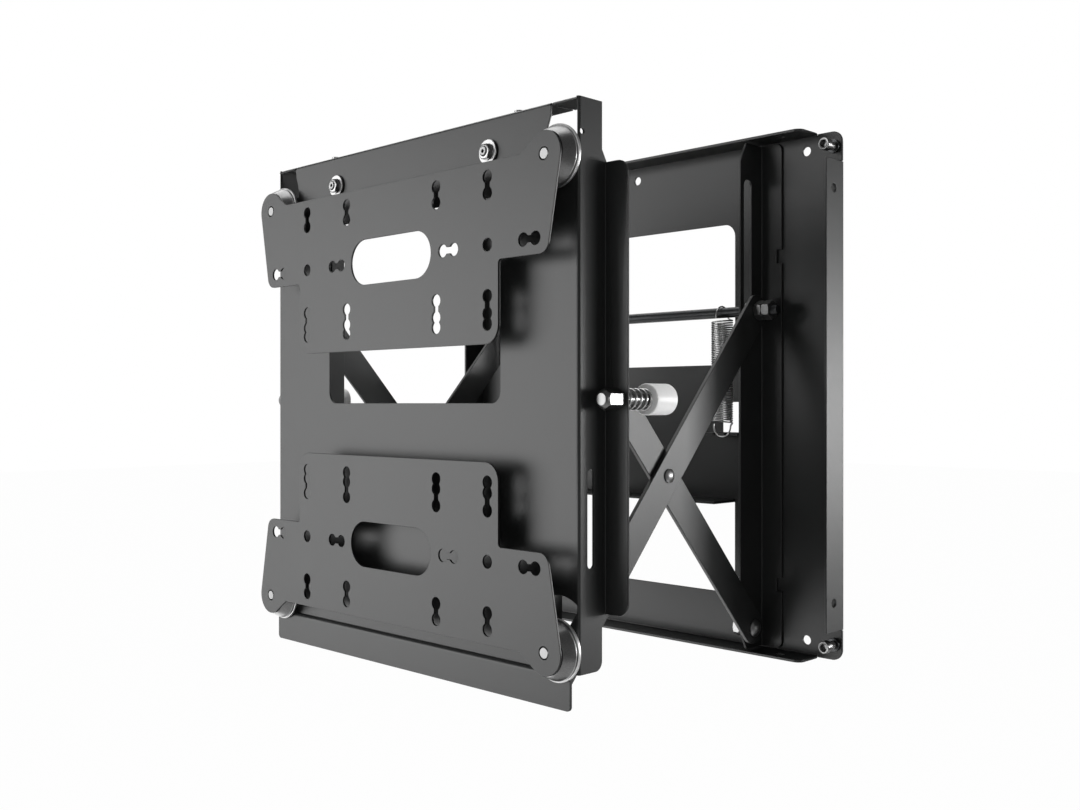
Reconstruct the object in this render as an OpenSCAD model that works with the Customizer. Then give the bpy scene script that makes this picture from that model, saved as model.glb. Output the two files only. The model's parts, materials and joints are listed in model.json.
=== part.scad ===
// Push-out wall mount for one screen of a video wall, shown pulled out from the wall.
// The origin is the middle of the wall plate's back face, +Y points into the wall and +Z up.

/* [Wall plate] */
// Width of the wall plate over its ears
wall_w = 391; // [386:1:410]
// Height of the wall plate over its ears
wall_h = 391; // [388:1:410]
// Thickness of the wall plate and of the slide brackets
wall_t = 2; // [1.5:0.5:3]
// Depth of the edge flanges from the back face
wall_flange = 25; // [18:1:26]
// Radius of the ear corners
ear_r = 8; // [4:1:10]
// How far the flanges stand out past the ear edges
flange_out = 1.1; // [0.5:0.1:2]
// Distance from the ear edges to the ends of the top and bottom flanges
flange_in_x = 21.1; // [18:0.1:26]
// Distance from the ear edges to the ends of the side flanges
flange_in_z = 23.5; // [20:0.5:28]
// Distance from the sides of the cable windows to the ear edges
window_in = 95; // [92:1:105]
// Top of the crossbar above the middle of the plate
crossbar_up = 25; // [15:1:30]
// Bottom of the crossbar below the middle of the plate
crossbar_down = 84; // [70:1:95]
// Depth of the flange along the crossbar's lower edge
crossbar_flange = 30; // [10:1:32]
// Height of the plate above the upper window
head_h = 58.8; // [50:0.1:70]
// Height of the plate below the lower window
sill_h = 39; // [30:1:50]
// Distance of the wall holes from the side edges
wall_hole_in_x = 29.8; // [27:0.1:34]
// Distance of the wall holes and levelling screws from the top and bottom edges
wall_hole_in_z = 11.5; // [10:0.5:13]
// Diameter of the wall holes
wall_hole_d = 7; // [6:0.5:9]
// Distance of the levelling screws from the side edges
level_in = 6.5; // [6:0.5:8]
// Diameter of the round holes in the edge flanges
flange_hole_d = 6.5; // [4:0.5:8]
// Distance of the flange holes from the ear edges
flange_hole_in = 44.5; // [40:0.5:50]
// Distance of the flange holes from the plate's back face
flange_hole_out = 14.8; // [12:0.1:15]

/* [Levelling screws] */
// Diameter of the levelling screw's thread
level_d = 6; // [5:0.5:6]
// Head diameter of the levelling screw
level_head_d = 9; // [8:0.5:10]
// Head height of the levelling screw
level_head_h = 6.5; // [4:0.5:8]
// How far the screw stands forward of the plate
level_stand = 15; // [13:0.5:18]
// Diameter and height of the press nut's collar
level_nut_d = 10; // [9:0.5:11]
level_nut_h = 2.2; // [1.5:0.1:3]

/* [Slide brackets] */
// Distance from the bracket's web to the side edge of the plate
web_in = 68.5; // [66:0.5:72]
// Depth of the web from the plate's front face
web_depth = 30; // [29:0.5:32]
// Depth of the web at its tapered ends
web_end_depth = 22; // [15:1:24]
// Height of each tapered end
web_taper_h = 15; // [10:1:25]
// Width of the bracket's foot from the web's outer face
foot_w = 18; // [14:1:22]
// Width of the slots that guide the shaft and the sliding pins
slot_w = 10; // [9.6:0.1:11]
// Spare slot length above the folded place of the shaft
slot_spare = 16; // [2:1:20]

/* [Scissor arms] */
// Angle of the arms from vertical when pulled out
open_angle = 41.7; // [39:0.1:42]
// Angle of the arms from vertical when pushed in
folded_angle = 6.6; // [6.6:0.1:10]
// Width of an arm
arm_w = 24; // [20:1:25]
// Thickness of an arm
arm_t = 3; // [2:0.5:3.5]
// Clearance from the bracket web to the inner arm
arm_from_web = 2.6; // [2:0.1:4]
// Clearance between faces that turn past each other
turn_gap = 0.3; // [0.2:0.05:0.5]
// Height of the lower pivots above the plate's bottom edge
pivot_up = 18.9; // [17:0.1:21]
// Distance from the folded cross shaft to the plate's top edge
head_room = 51.2; // [48:0.1:60]
// Distance from the wall plate's front face to the rear pivots
rear_standoff = 20.5; // [19:0.5:22]
// Diameter of the pivot bolts, the shaft and the sliding pins
pivot_d = 8; // [6:0.5:8]
// Radial clearance of a piece that turns on a pivot
run_fit = 0.06; // [0.03:0.01:0.1]
// Head diameter of the pivot bolts
bolt_head_d = 13; // [11:0.5:14]
// Head diameter of the centre rivets
rivet_head_d = 10; // [9:0.5:13]

/* [Cross shaft] */
// Across flats of the shaft's nuts
nut_af = 13; // [12:0.5:14]
// Height of the shaft's nuts
nut_h = 6.5; // [5:0.5:8]
// Thread left past the locknuts
shaft_end = 4.5; // [2:0.5:8]
// Flange diameter of the bushes beside the arms
bush_d = 14; // [12.5:0.5:15]

/* [Extension springs] */
// Distance from the bracket's web to the middle of the spring
spring_in = 24; // [22:0.5:27]
// Outer diameter of the springs
spring_od = 17; // [15:0.5:17]
// Wire diameter
spring_wire = 1.3; // [1:0.1:1.4]
// Number of curls
spring_turns = 37.75; // [29.75:1:37.75]
// Clearance of the hooks to what they hold
hook_gap = 0.3; // [0.2:0.05:0.5]
// Top of the coils below the shaft's axis
coil_below_shaft = 6.2; // [5:0.1:8]
// Height of the spring anchor's top face below the middle of the plate
anchor_drop = 28.6; // [26:0.1:32]
// Length of the lanced spring anchor
anchor_len = 24; // [22:0.5:25]
// Width of the lanced spring anchor
anchor_w = 30; // [20:1:32]

/* [Carriage] */
// Distance from the slide bracket's web in to the carriage web
carriage_in = 6.6; // [5:0.2:9]
// Depth of the carriage web
carriage_depth = 29; // [24:0.5:32]
// Thickness of the carriage sheet
carriage_t = 2; // [1.5:0.5:2.5]
// Width of the inward foot of the carriage brackets
carriage_foot = 20; // [15:1:22]
// Height of the top bar's upright leg
bar_h = 22; // [18:1:30]
// Height of the carriage above the sliding pins when pushed in
carriage_above = 22.1; // [20.5:0.1:26]
// Distance from the slide bracket's web in to the clamp studs
stud_in = 43; // [36:1:50]
// Distance of the clamp studs below the frame's top edge
stud_down = 22.4; // [21:0.1:24]
// Diameter of the clamp studs and the height screws
stud_d = 6; // [5:0.5:6]
// Distance from the slide bracket's web in to the height screws
height_screw_in = 26; // [23:0.5:31]
// Up and down travel of the height setting
height_travel = 3; // [2:0.5:4]

/* [Front frame] */
// Distance from the frame's sides to the side edges of the wall plate
frame_in = 31.8; // [30:0.2:35]
// Height of the frame above the carriage
frame_above = 13.5; // [11:0.5:16]
// Distance from the lower pivots up to the frame's bottom edge
frame_low_up = 6.7; // [5:0.1:8]
// Depth of the frame's flanges
frame_depth = 21.1; // [18:0.1:23]
// Depth from the frame's front face to the back of its wings
wing_depth = 25.4; // [24:0.1:28]
// Thickness of the front frame sheet
frame_t = 1.5; // [1.2:0.1:2]
// Clearance of the arm ends behind the frame
arm_end_gap = 0.6; // [0.5:0.1:1.5]
// Distance from the wings' ends to the side edges of the wall plate
wing_in = 13.8; // [12:0.1:16]
// Distance from the frame's top edge to the wings
wing_below_top = 37; // [30:0.5:60]
// Distance from the frame's bottom edge to the wings
wing_above_low = 34.3; // [28:0.1:60]
// Distance from the slide bracket's web in to the frame's window
frame_window_in = 32.5; // [31:0.5:45]
// Distance from the frame's top edge to its window
frame_window_down = 52; // [46:1:60]
// Distance from the frame's sides to the corner cut-outs
corner_cut_in = 23.6; // [20:0.2:26]
// Distance from the frame's top edge to the bottom of the corner cut-outs
corner_cut_down = 24.2; // [20:0.1:25]
// Distance from the slide bracket's web in to the ends of the bottom flange
bottom_flange_in = 21; // [20:1:35]
// Height of the bottom lip's front leg
lip_h = 22.1; // [16:0.1:26]
// Step of the bottom lip forward of the frame
lip_step = 3.3; // [2:0.1:5]

/* [Screen plates] */
// Hole spacing of the screen pattern
screen_pitch = 200; // [200:200]
// How far the screen centre lies below the middle of the front frame
screen_below = 10.6; // [8:0.1:12]
// Diameter of the screen holes
screen_hole_d = 8.5; // [6.5:0.5:8.5]
// Thickness of the screen plates
plate_t = 1.5; // [1.2:0.1:2]
// Distance from the screen plates to the front frame
plate_standoff = 14.9; // [14:0.1:18]
// Half width of the plate's inner part
plate_half_w = 110; // [107:0.5:116]
// How far the plates reach past the adjusters
plate_over = 2.5; // [1:0.5:4]
// Distance from the screen centre to the plates' inner edges
plate_inner = 37.2; // [32:0.1:42]
// Height where the plate's shoulders start
shoulder_in = 90; // [84:0.5:92]
// Distance of the adjusters from the frame's sides
adjust_in_x = 13.7; // [13:0.1:16]
// Distance of the upper adjusters from the frame's top edge
adjust_in_z = 35.5; // [34.5:0.5:36.5]
// Radius of the ears round the adjusters
adjust_ear_r = 14; // [12:0.5:16]
// Half width and height of the oblong window
oblong_half_w = 44.4; // [38:0.2:44.6]
oblong_h = 32; // [24:1:36]

/* [Adjuster wheels] */
// Diameter of the wheel's barrel beside the screen plate
wheel_front_d = 28.8; // [24:0.2:32]
// Diameter of the wheel's barrel beside the rim
wheel_d = 36.6; // [32:0.2:37.4]
// Diameter of the wheel's rim
wheel_rim_d = 39; // [38:0.5:41]
// Length of the barrel
wheel_len = 8.7; // [7:0.1:8.7]
// Thickness of the rim
wheel_rim_t = 2; // [1:0.5:2]
// Diameter of the spindle
spindle_d = 8; // [6:0.5:8]
// Length of the threaded insert
insert_h = 8; // [5:0.5:9]
// Diameter of the threaded insert
insert_d = 13; // [11:0.5:14]

/* [Buffers] */
// Distance of the buffers from the side edges of the wall plate
buffer_in = 21.5; // [21:0.5:23]
// Height of the buffers above the screen centre
buffer_up = 2.4; // [0:0.1:20]
// Diameter and length of the nylon buffer
buffer_d = 20; // [16:0.5:20]
buffer_len = 20.5; // [16:0.5:20.5]
// Distance from the wings to the nylon buffer
buffer_gap = 24.6; // [22:0.1:24.6]
// Across flats and length of the hex end
hex_af = 11.5; // [10:0.5:13]
hex_len = 15.5; // [10:0.5:16]
// Diameter of the buffer's rod
rod_d = 8; // [6:0.5:9]
// Outer diameter, wire and curls of the buffer spring
buffer_spring_od = 14; // [12.5:0.5:16]
buffer_spring_wire = 1.6; // [1.2:0.1:1.6]
buffer_spring_turns = 4; // [3:1:5]

/* [Hidden] */
$fn = 48;
black = "#4a4b4d";
zinc = "#b9bbbd";
steel = "#d5d6d7";
nylon = "#e9e9e7";
eps = 1;
fit = 0.03;
bend_in = 0.5;
bend_out = wall_t + bend_in;
frame_bend = frame_t + bend_in;
pivot_r = pivot_d / 2;

// Scissor geometry, which sets where the carriage and the frame stand.
arm_len = (wall_h - pivot_up - head_room) / cos(folded_angle);
rear_y = -(wall_t + rear_standoff);
front_y = rear_y - arm_len * sin(open_angle);
low_z = pivot_up - wall_h / 2;
top_z = low_z + arm_len * cos(open_angle);
folded_top_z = low_z + arm_len * cos(folded_angle);
mid_y = (rear_y + front_y) / 2;
mid_z = (low_z + top_z) / 2;
web_x = wall_w / 2 - web_in;
inner_arm_x = web_x + arm_from_web;
outer_arm_x = inner_arm_x + arm_t + turn_gap;
outer_face_x = outer_arm_x + arm_t;

// Depths, widths and heights of the sheets from the wall to the screen.
frame_inside_y = front_y - arm_w / 2 - arm_end_gap;
frame_y = frame_inside_y - frame_t;
flange_end_y = frame_y + frame_depth;
wing_back_y = frame_y + wing_depth;
wing_y = wing_back_y - frame_t;
carriage_y = frame_inside_y + turn_gap;
plate_y = frame_y - plate_standoff - plate_t;
carriage_web_x = web_x - carriage_in;
carriage_top_z = folded_top_z + carriage_above;
carriage_low_z = low_z - arm_w / 2;
frame_half_w = wall_w / 2 - frame_in;
wing_half_w = wall_w / 2 - wing_in;
frame_top_z = carriage_top_z + frame_above;
frame_low_z = low_z + frame_low_up;
screen_z = (frame_top_z + frame_low_z) / 2 - screen_below;
wing_top_z = frame_top_z - wing_below_top;
wing_low_z = frame_low_z + wing_above_low;
adjust_x = frame_half_w - adjust_in_x;
adjust_z = frame_top_z - adjust_in_z - screen_z;
stud_x = web_x - stud_in;
stud_z = frame_top_z - stud_down;
spring_x = web_x - spring_in;
height_screw_x = web_x - height_screw_in;
buffer_x = wall_w / 2 - buffer_in;
buffer_z = screen_z + buffer_up;
half_pitch = screen_pitch / 2;

// A polygon corner is [x, y, radius].
function unit(v) = v / norm(v);
function flat(p) = [p[0], p[1]];
function corner(a, p, b, n = 6) =
    p[2] == 0 ? [flat(p)] :
    let (u = unit(flat(a) - flat(p)), v = unit(flat(b) - flat(p)),
        half = acos(max(-1, min(1, u * v))) / 2,
        c = flat(p) + unit(u + v) * p[2] / sin(half),
        s = flat(p) + u * p[2] / tan(half) - c,
        e = flat(p) + v * p[2] / tan(half) - c,
        a0 = atan2(s[1], s[0]), turn = atan2(s[0] * e[1] - s[1] * e[0], s * e))
    [for (i = [0 : n]) c + p[2] * [cos(a0 + turn * i / n), sin(a0 + turn * i / n)]];
function rounded(p, n = 6) = [for (i = [0 : len(p) - 1])
    each corner(p[(i + len(p) - 1) % len(p)], p[i], p[(i + 1) % len(p)], n)];
function box_pts(x0, x1, y0, y1, r = 0) = [[x0, y0, r], [x1, y0, r], [x1, y1, r], [x0, y1, r]];
function flipped(p) = [for (i = [len(p) - 1 : -1 : 0]) [-p[i][0], p[i][1], p[i][2]]];
function arc(c, r, a0, a1, n = 12) = [for (i = [0 : n])
    [c[0] + r * cos(a0 + (a1 - a0) * i / n), c[1] + r * sin(a0 + (a1 - a0) * i / n), 0]];

module shape(p, n = 6) polygon(rounded(p, n));
// A sheet facing the wall from y to y + t, and one facing sideways from x to x + t.
module in_xz(y, t) translate([0, y + t, 0]) rotate([90, 0, 0]) linear_extrude(t) children();
module in_yz(x, t) translate([x, 0, 0]) rotate([90, 0, 90]) linear_extrude(t) children();
module rod_x(x0, x1, r) translate([x0, 0, 0]) rotate([0, 90, 0]) cylinder(h = x1 - x0, r = r);
module rod_y(y0, y1, r) translate([0, y0, 0]) rotate([-90, 0, 0]) cylinder(h = y1 - y0, r = r);
module hex_x(x0, x1, af) translate([x0, 0, 0]) rotate([0, 90, 0])
    cylinder(h = x1 - x0, r = af / 2 / cos(30), $fn = 6);
module hex_y(y0, y1, af) translate([0, y0, 0]) rotate([-90, 0, 0])
    cylinder(h = y1 - y0, r = af / 2 / cos(30), $fn = 6);
module both_sides() {
    children();
    mirror([1, 0, 0]) children();
}
module slot_2d(x, z0, z1, w) {
    translate([x, z0]) circle(d = w);
    translate([x, z1]) circle(d = w);
    translate([x - w / 2, z0]) square([w, z1 - z0]);
}

// Wall side
wall_hole_x = wall_w / 2 - wall_hole_in_x;
wall_hole_z = wall_h / 2 - wall_hole_in_z;
level_x = wall_w / 2 - level_in;
level_z = wall_hole_z;
flange_half_w = wall_w / 2 - flange_in_x;
flange_half_h = wall_h / 2 - flange_in_z;
flange_hole_x = wall_w / 2 - flange_hole_in;
flange_hole_z = wall_h / 2 - flange_hole_in;
window_w = wall_w - 2 * window_in;
window_r = 10;
relief_w = 0.8;
flange_corner_r = 6;
tab_z = -anchor_drop;
hook_r = spring_od / 2 - spring_wire / 2;
tab_hole_d = 5;
hook_low_z = tab_z - wall_t - hook_gap - spring_wire / 2 + hook_r;
tab_drop = hook_low_z - tab_z + wall_t / 2;
tab_hole_x = sqrt(hook_r * hook_r - tab_drop * tab_drop);
stub = bend_out - flange_out;
module wall_outline() {
    difference() {
        shape(box_pts(-wall_w / 2, wall_w / 2, -wall_h / 2, wall_h / 2, ear_r), 8);
        shape(box_pts(-window_w / 2, window_w / 2, crossbar_up, wall_h / 2 - head_h, window_r));
        shape([[-window_w / 2, -wall_h / 2 + sill_h, window_r],
            [window_w / 2, -wall_h / 2 + sill_h, window_r],
            [window_w / 2, -crossbar_down, 0], [-window_w / 2, -crossbar_down, 0]]);
        for (x = [-1, 1], z = [-1, 1]) translate([x * wall_hole_x, z * wall_hole_z])
            circle(d = wall_hole_d);
        translate([0, wall_hole_z]) circle(d = wall_hole_d);
        for (x = [-1, 1], z = [-1, 1]) translate([x * level_x, z * level_z])
            circle(d = level_d + 2 * turn_gap);
        for (x = [-1, 1]) translate([x * spring_x - anchor_w / 2, tab_z - bend_out])
            square([anchor_w, anchor_len + bend_out]);
        translate([-window_w / 2, -crossbar_down - eps]) square([window_w, bend_out + eps]);
        for (z = [-1, 1]) translate([-flange_half_w, z > 0 ? wall_h / 2 - stub : -wall_h / 2])
            square([2 * flange_half_w, stub]);
        for (x = [-1, 1]) translate([x > 0 ? wall_w / 2 - stub : -wall_w / 2, -flange_half_h])
            square([stub, 2 * flange_half_h]);
        for (x = [-1, 1], z = [-1, 1]) {
            translate([x * (flange_half_w + relief_w / 2) - relief_w / 2,
                z > 0 ? wall_h / 2 - stub : -wall_h / 2]) square([relief_w, stub]);
            translate([x > 0 ? wall_w / 2 - stub : -wall_w / 2,
                z * (flange_half_h + relief_w / 2) - relief_w / 2]) square([stub, relief_w]);
        }
    }
}
// Bent edge: plate stub, rounded bend and forward flange, drawn as depth and height.
function bent_edge(edge, depth, t, r = bend_out) = [[0, edge - r, 0], [0, edge, r],
    [-depth, edge, 0], [-depth, edge - t, 0], [-t, edge - t, bend_in], [-t, edge - r, 0]];
module wall_plate() {
    color(black) difference() {
        union() {
            in_xz(-wall_t, wall_t) wall_outline();
            for (z = [0, 1]) mirror([0, 0, z]) difference() {
                in_yz(-flange_half_w, 2 * flange_half_w)
                    shape(bent_edge(wall_h / 2 + flange_out, wall_flange, wall_t), 4);
                both_sides() translate([0, 0, wall_h / 2 - wall_t]) linear_extrude(2 * wall_t)
                    difference() {
                        translate([flange_half_w - flange_corner_r, -wall_flange - eps])
                            square(flange_corner_r + eps);
                        translate([flange_half_w - flange_corner_r, flange_corner_r - wall_flange])
                            circle(r = flange_corner_r);
                    }
                both_sides() translate([flange_hole_x, -flange_hole_out, wall_h / 2])
                    cylinder(h = 3 * wall_t, d = flange_hole_d, center = true);
            }
            both_sides() difference() {
                translate([0, 0, -flange_half_h]) linear_extrude(2 * flange_half_h)
                    polygon([for (p = rounded(bent_edge(wall_w / 2 + flange_out, wall_flange, wall_t), 4))
                        [p[1], p[0]]]);
                for (z = [-1, 1]) translate([wall_w / 2, -flange_hole_out, z * flange_hole_z])
                    rod_x(-2 * wall_t, 2 * wall_t, flange_hole_d / 2);
            }
            mirror([0, 0, 1]) in_yz(-window_w / 2, window_w)
                shape(bent_edge(crossbar_down, crossbar_flange, wall_t), 4);
            for (x = [-1, 1]) translate([x * spring_x, 0, 0])
                in_yz(-anchor_w / 2, anchor_w) shape(bent_edge(tab_z, anchor_len, wall_t), 4);
        }
        for (x = [-1, 1], s = [-1, 1])
            translate([x * spring_x + s * tab_hole_x, rear_y, tab_z - wall_t - eps])
                cylinder(h = wall_t + 2 * eps, d = tab_hole_d);
    }
}

foot_r = 5;
notch_w = 10.5;
notch_d = 4.5;
notch_z = [107, -144.5];
module slide_bracket() {
    top = wall_h / 2 - wall_t - turn_gap;
    front = -wall_t - web_depth;
    color(black) difference() {
        union() {
            in_yz(web_x - wall_t, wall_t) polygon([[-wall_t, -top], [-wall_t, top],
                [-wall_t - web_end_depth, top], [front, top - web_taper_h],
                [front, -top + web_taper_h], [-wall_t - web_end_depth, -top]]);
            in_xz(-2 * wall_t, wall_t) difference() {
                shape([[web_x - wall_t, -top, 0], [web_x + foot_w, -top, foot_r],
                    [web_x + foot_w, top, foot_r], [web_x - wall_t, top, 0]]);
                for (z = notch_z) translate([web_x + foot_w - notch_d, z - notch_w / 2])
                    square([notch_d + eps, notch_w]);
            }
        }
        in_yz(web_x - wall_t - eps, wall_t + 2 * eps)
            slot_2d(rear_y, top_z, folded_top_z + slot_spare, slot_w);
        translate([0, rear_y, low_z]) rod_x(web_x - wall_t - eps, web_x + eps, pivot_r + fit);
    }
}
module slide_bracket_left() mirror([1, 0, 0]) slide_bracket();
module slide_bracket_right() slide_bracket();

// A domed bolt along X whose head stands outside x_head and whose shank ends at x_end.
dome_h = 4;
dome_edge = 0.7;
module dome_bolt(x_head, x_end, head_d, rise = dome_h) {
    dome = rise - dome_edge;
    r = (head_d * head_d / 4 + dome * dome) / 2 / dome;
    start = acos(head_d / 2 / r);
    rotate([0, 90, 0]) rotate_extrude() polygon(concat(
        [[0, x_end], [pivot_r, x_end], [pivot_r, x_head], [head_d / 2, x_head]],
        [for (i = [0 : 6]) let (a = start + (90 - start) * i / 6)
            [r * cos(a), x_head + rise - r + r * sin(a)]]));
}
inner_nut_h = 6;
washer_t = 1.5;
bolt_tail = 2;
module rear_pivot_bolts() color(zinc) both_sides() translate([0, rear_y, low_z])
    dome_bolt(inner_arm_x + arm_t + turn_gap,
        web_x - wall_t - washer_t - inner_nut_h - bolt_tail, bolt_head_d);
module inside_nut(x) difference() {
    union() {
        rod_x(x - washer_t, x, bolt_head_d / 2 + 1);
        hex_x(x - washer_t - inner_nut_h, x - washer_t, nut_af);
    }
    rod_x(x - washer_t - inner_nut_h - eps, x + eps, pivot_r + fit);
}
module rear_pivot_nuts() color(zinc) both_sides() translate([0, rear_y, low_z])
    inside_nut(web_x - wall_t);
module ring_x(x0, x1, r_out, r_in) difference() {
    rod_x(x0, x1, r_out);
    rod_x(x0 - eps, x1 + eps, r_in);
}
module rear_spacers() color(zinc) both_sides() translate([0, rear_y, low_z])
    ring_x(web_x, inner_arm_x - turn_gap, bush_d / 2, pivot_r + fit);
module press_nuts() color(zinc) for (x = [-1, 1], z = [-1, 1])
    translate([x * level_x, 0, z * level_z]) difference() {
        rod_y(-wall_t - level_nut_h, -wall_t, level_nut_d / 2);
        rod_y(-wall_t - level_nut_h - eps, -wall_t + eps, level_d / 2 + run_fit);
    }
socket_af = 5;
socket_depth = 3.5;
module levelling_screw(x, z) color(steel) translate([x * level_x, 0, z * level_z]) difference() {
    union() {
        rod_y(-wall_t - level_stand, -wall_t - level_stand + level_head_h, level_head_d / 2);
        rod_y(-wall_t - level_stand + level_head_h - eps, 0, level_d / 2);
    }
    hex_y(-wall_t - level_stand - eps, -wall_t - level_stand + socket_depth, socket_af);
}
module levelling_screw_top_left() levelling_screw(-1, 1);
module levelling_screw_top_right() levelling_screw(1, 1);
module levelling_screw_bottom_left() levelling_screw(-1, -1);
module levelling_screw_bottom_right() levelling_screw(1, -1);

// Coil springs. A path point is [centre, side direction], and the tube is swept through them.
ring_sides = 6;
rings_per_turn = 8;
hook_rings = 6;
function ring_point(path, i, r, k) =
    let (n = len(path), tangent = unit(path[min(i + 1, n - 1)][0] - path[max(i - 1, 0)][0]),
        side = unit(path[i][1] - (path[i][1] * tangent) * tangent),
        other = cross(tangent, side), a = 360 * k / ring_sides)
    path[i][0] + r * (cos(a) * side + sin(a) * other);
module tube(path, r) {
    n = len(path);
    polyhedron(points = [for (i = [0 : n - 1], k = [0 : ring_sides - 1]) ring_point(path, i, r, k)],
        faces = concat([[for (k = [0 : ring_sides - 1]) k]],
            [for (i = [0 : n - 2], k = [0 : ring_sides - 1]) each
                let (a = i * ring_sides + k, b = i * ring_sides + (k + 1) % ring_sides)
                [[a, a + ring_sides, b], [b, a + ring_sides, b + ring_sides]]],
            [[for (k = [ring_sides - 1 : -1 : 0]) (n - 1) * ring_sides + k]]));
}
function coil_point(r, a, z) = [[r * cos(a), r * sin(a), z], [cos(a), sin(a), 0]];
function coil_path(r, z0, z1, turns, start = 0) = [for (i = [0 : turns * rings_per_turn])
    let (s = i / (turns * rings_per_turn)) coil_point(r, start + 360 * turns * s, z0 + (z1 - z0) * s)];
// A hook lifts off the last curl in a quarter turn and goes over what it holds in a half loop.
function hook_path(r, z_coil, z_loop) = concat(
    [for (i = [1 : hook_rings]) let (u = 90 * i / hook_rings)
        coil_point(r, 90 * sin(u), z_coil + (z_loop - z_coil) * (1 - cos(u)))],
    [for (i = [1 : 2 * hook_rings]) let (b = 90 * i / hook_rings)
        [[0, r * cos(b), z_loop + r * sin(b)], [0, cos(b), sin(b)]]]);
function turned_over(path, z_mid) = [for (i = [len(path) - 1 : -1 : 0])
    [[path[i][0][0], -path[i][0][1], 2 * z_mid - path[i][0][2]],
     [path[i][1][0], -path[i][1][1], -path[i][1][2]]]];
function quarter_turned(path) = [for (p = path) [for (v = p) [-v[1], v[0], v[2]]]];
coil_top_z = top_z - coil_below_shaft;
hook_top_z = top_z + pivot_r + hook_gap + spring_wire / 2 - hook_r;
coil_low_z = hook_low_z + (coil_below_shaft + pivot_r + hook_gap + spring_wire / 2 - hook_r);
extension_path = concat(
    quarter_turned(turned_over(hook_path(hook_r, -coil_low_z, -hook_low_z), 0)),
    coil_path(hook_r, coil_low_z, coil_top_z, spring_turns, 90),
    hook_path(hook_r, coil_top_z, hook_top_z));
// Least distance between parts of a coil more than a third of a turn apart, less the wire.
function least_gap(path, wire) = min([for (i = [0 : len(path) - 1])
    for (j = [i + 4 : min(i + 3 * rings_per_turn, len(path) - 1)])
        norm(path[i][0] - path[j][0])]) - wire;
extension_gap = least_gap(extension_path, spring_wire);
echo(extension_spring_gap = extension_gap);
module extension_spring(x) color(steel) translate([x * spring_x, rear_y, 0])
    tube(extension_path, spring_wire / 2);
module extension_spring_left() extension_spring(-1);
module extension_spring_right() extension_spring(1);

// Scissor
// The outline is two round ends and the straight bar between them.
module arm_bar(lean) translate([mid_y, mid_z]) rotate(lean * open_angle) difference() {
    union() {
        translate([-arm_w / 2, -arm_len / 2]) square([arm_w, arm_len]);
        for (s = [-1, 1]) translate([0, s * arm_len / 2]) circle(d = arm_w);
    }
    for (s = [-1, 0, 1]) translate([0, s * arm_len / 2]) circle(r = pivot_r + run_fit);
}
module inner_arm() color(black) in_yz(inner_arm_x, arm_t) arm_bar(1);
module outer_arm() color(black) in_yz(outer_arm_x, arm_t) arm_bar(-1);
module inner_arm_left() mirror([1, 0, 0]) inner_arm();
module inner_arm_right() inner_arm();
module outer_arm_left() mirror([1, 0, 0]) outer_arm();
module outer_arm_right() outer_arm();
rivet_rise = 2.2;
module centre_rivets() color(zinc) both_sides() translate([0, mid_y, mid_z]) {
    dome_bolt(outer_face_x + turn_gap, inner_arm_x - eps / 2, rivet_head_d, rivet_rise);
    rod_x(inner_arm_x - washer_t, inner_arm_x, rivet_head_d / 2);
}
pin_head_h = 2.2;
carriage_nut_x = carriage_web_x - carriage_t - turn_gap;
module slide_pins() color(zinc) both_sides() translate([0, front_y, top_z]) {
    rod_x(inner_arm_x + arm_t, inner_arm_x + arm_t + pin_head_h, bolt_head_d / 2);
    rod_x(inner_arm_x - eps / 2, inner_arm_x + arm_t + eps / 2, pivot_r);
    rod_x(carriage_web_x + turn_gap, inner_arm_x, bush_d / 2);
    rod_x(carriage_nut_x, carriage_web_x + turn_gap + eps / 2, slot_w / 2 - turn_gap / 2);
    rod_x(carriage_nut_x - inner_nut_h - bolt_tail, carriage_nut_x + eps, pivot_r);
}
module slide_pin_nuts() color(zinc) both_sides() translate([0, front_y, top_z]) difference() {
    hex_x(carriage_nut_x - inner_nut_h, carriage_nut_x, nut_af);
    rod_x(carriage_nut_x - inner_nut_h - eps, carriage_nut_x + eps, pivot_r + fit);
}

// Cross shaft
nut_x = outer_face_x + turn_gap;
shaft_x = nut_x + 2 * nut_h + turn_gap + shaft_end;
module cross_shaft() color(black) translate([0, rear_y, top_z]) rod_x(-shaft_x, shaft_x, pivot_r);
module shaft_bushes() color(zinc) both_sides() translate([0, rear_y, top_z]) difference() {
    union() {
        rod_x(web_x - wall_t - turn_gap, web_x + turn_gap + eps / 2, slot_w / 2 - turn_gap / 2);
        rod_x(web_x + turn_gap, outer_arm_x - turn_gap, bush_d / 2);
    }
    rod_x(web_x - wall_t - turn_gap - eps, outer_arm_x + eps, pivot_r + fit);
}
module shaft_nut(x) difference() {
    hex_x(x, x + nut_h, nut_af);
    rod_x(x - eps, x + nut_h + eps, pivot_r + fit);
}
module shaft_nuts() color(zinc) both_sides() translate([0, rear_y, top_z]) shaft_nut(nut_x);
module shaft_locknuts() color(zinc) both_sides() translate([0, rear_y, top_z])
    shaft_nut(nut_x + nut_h + turn_gap);

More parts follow.
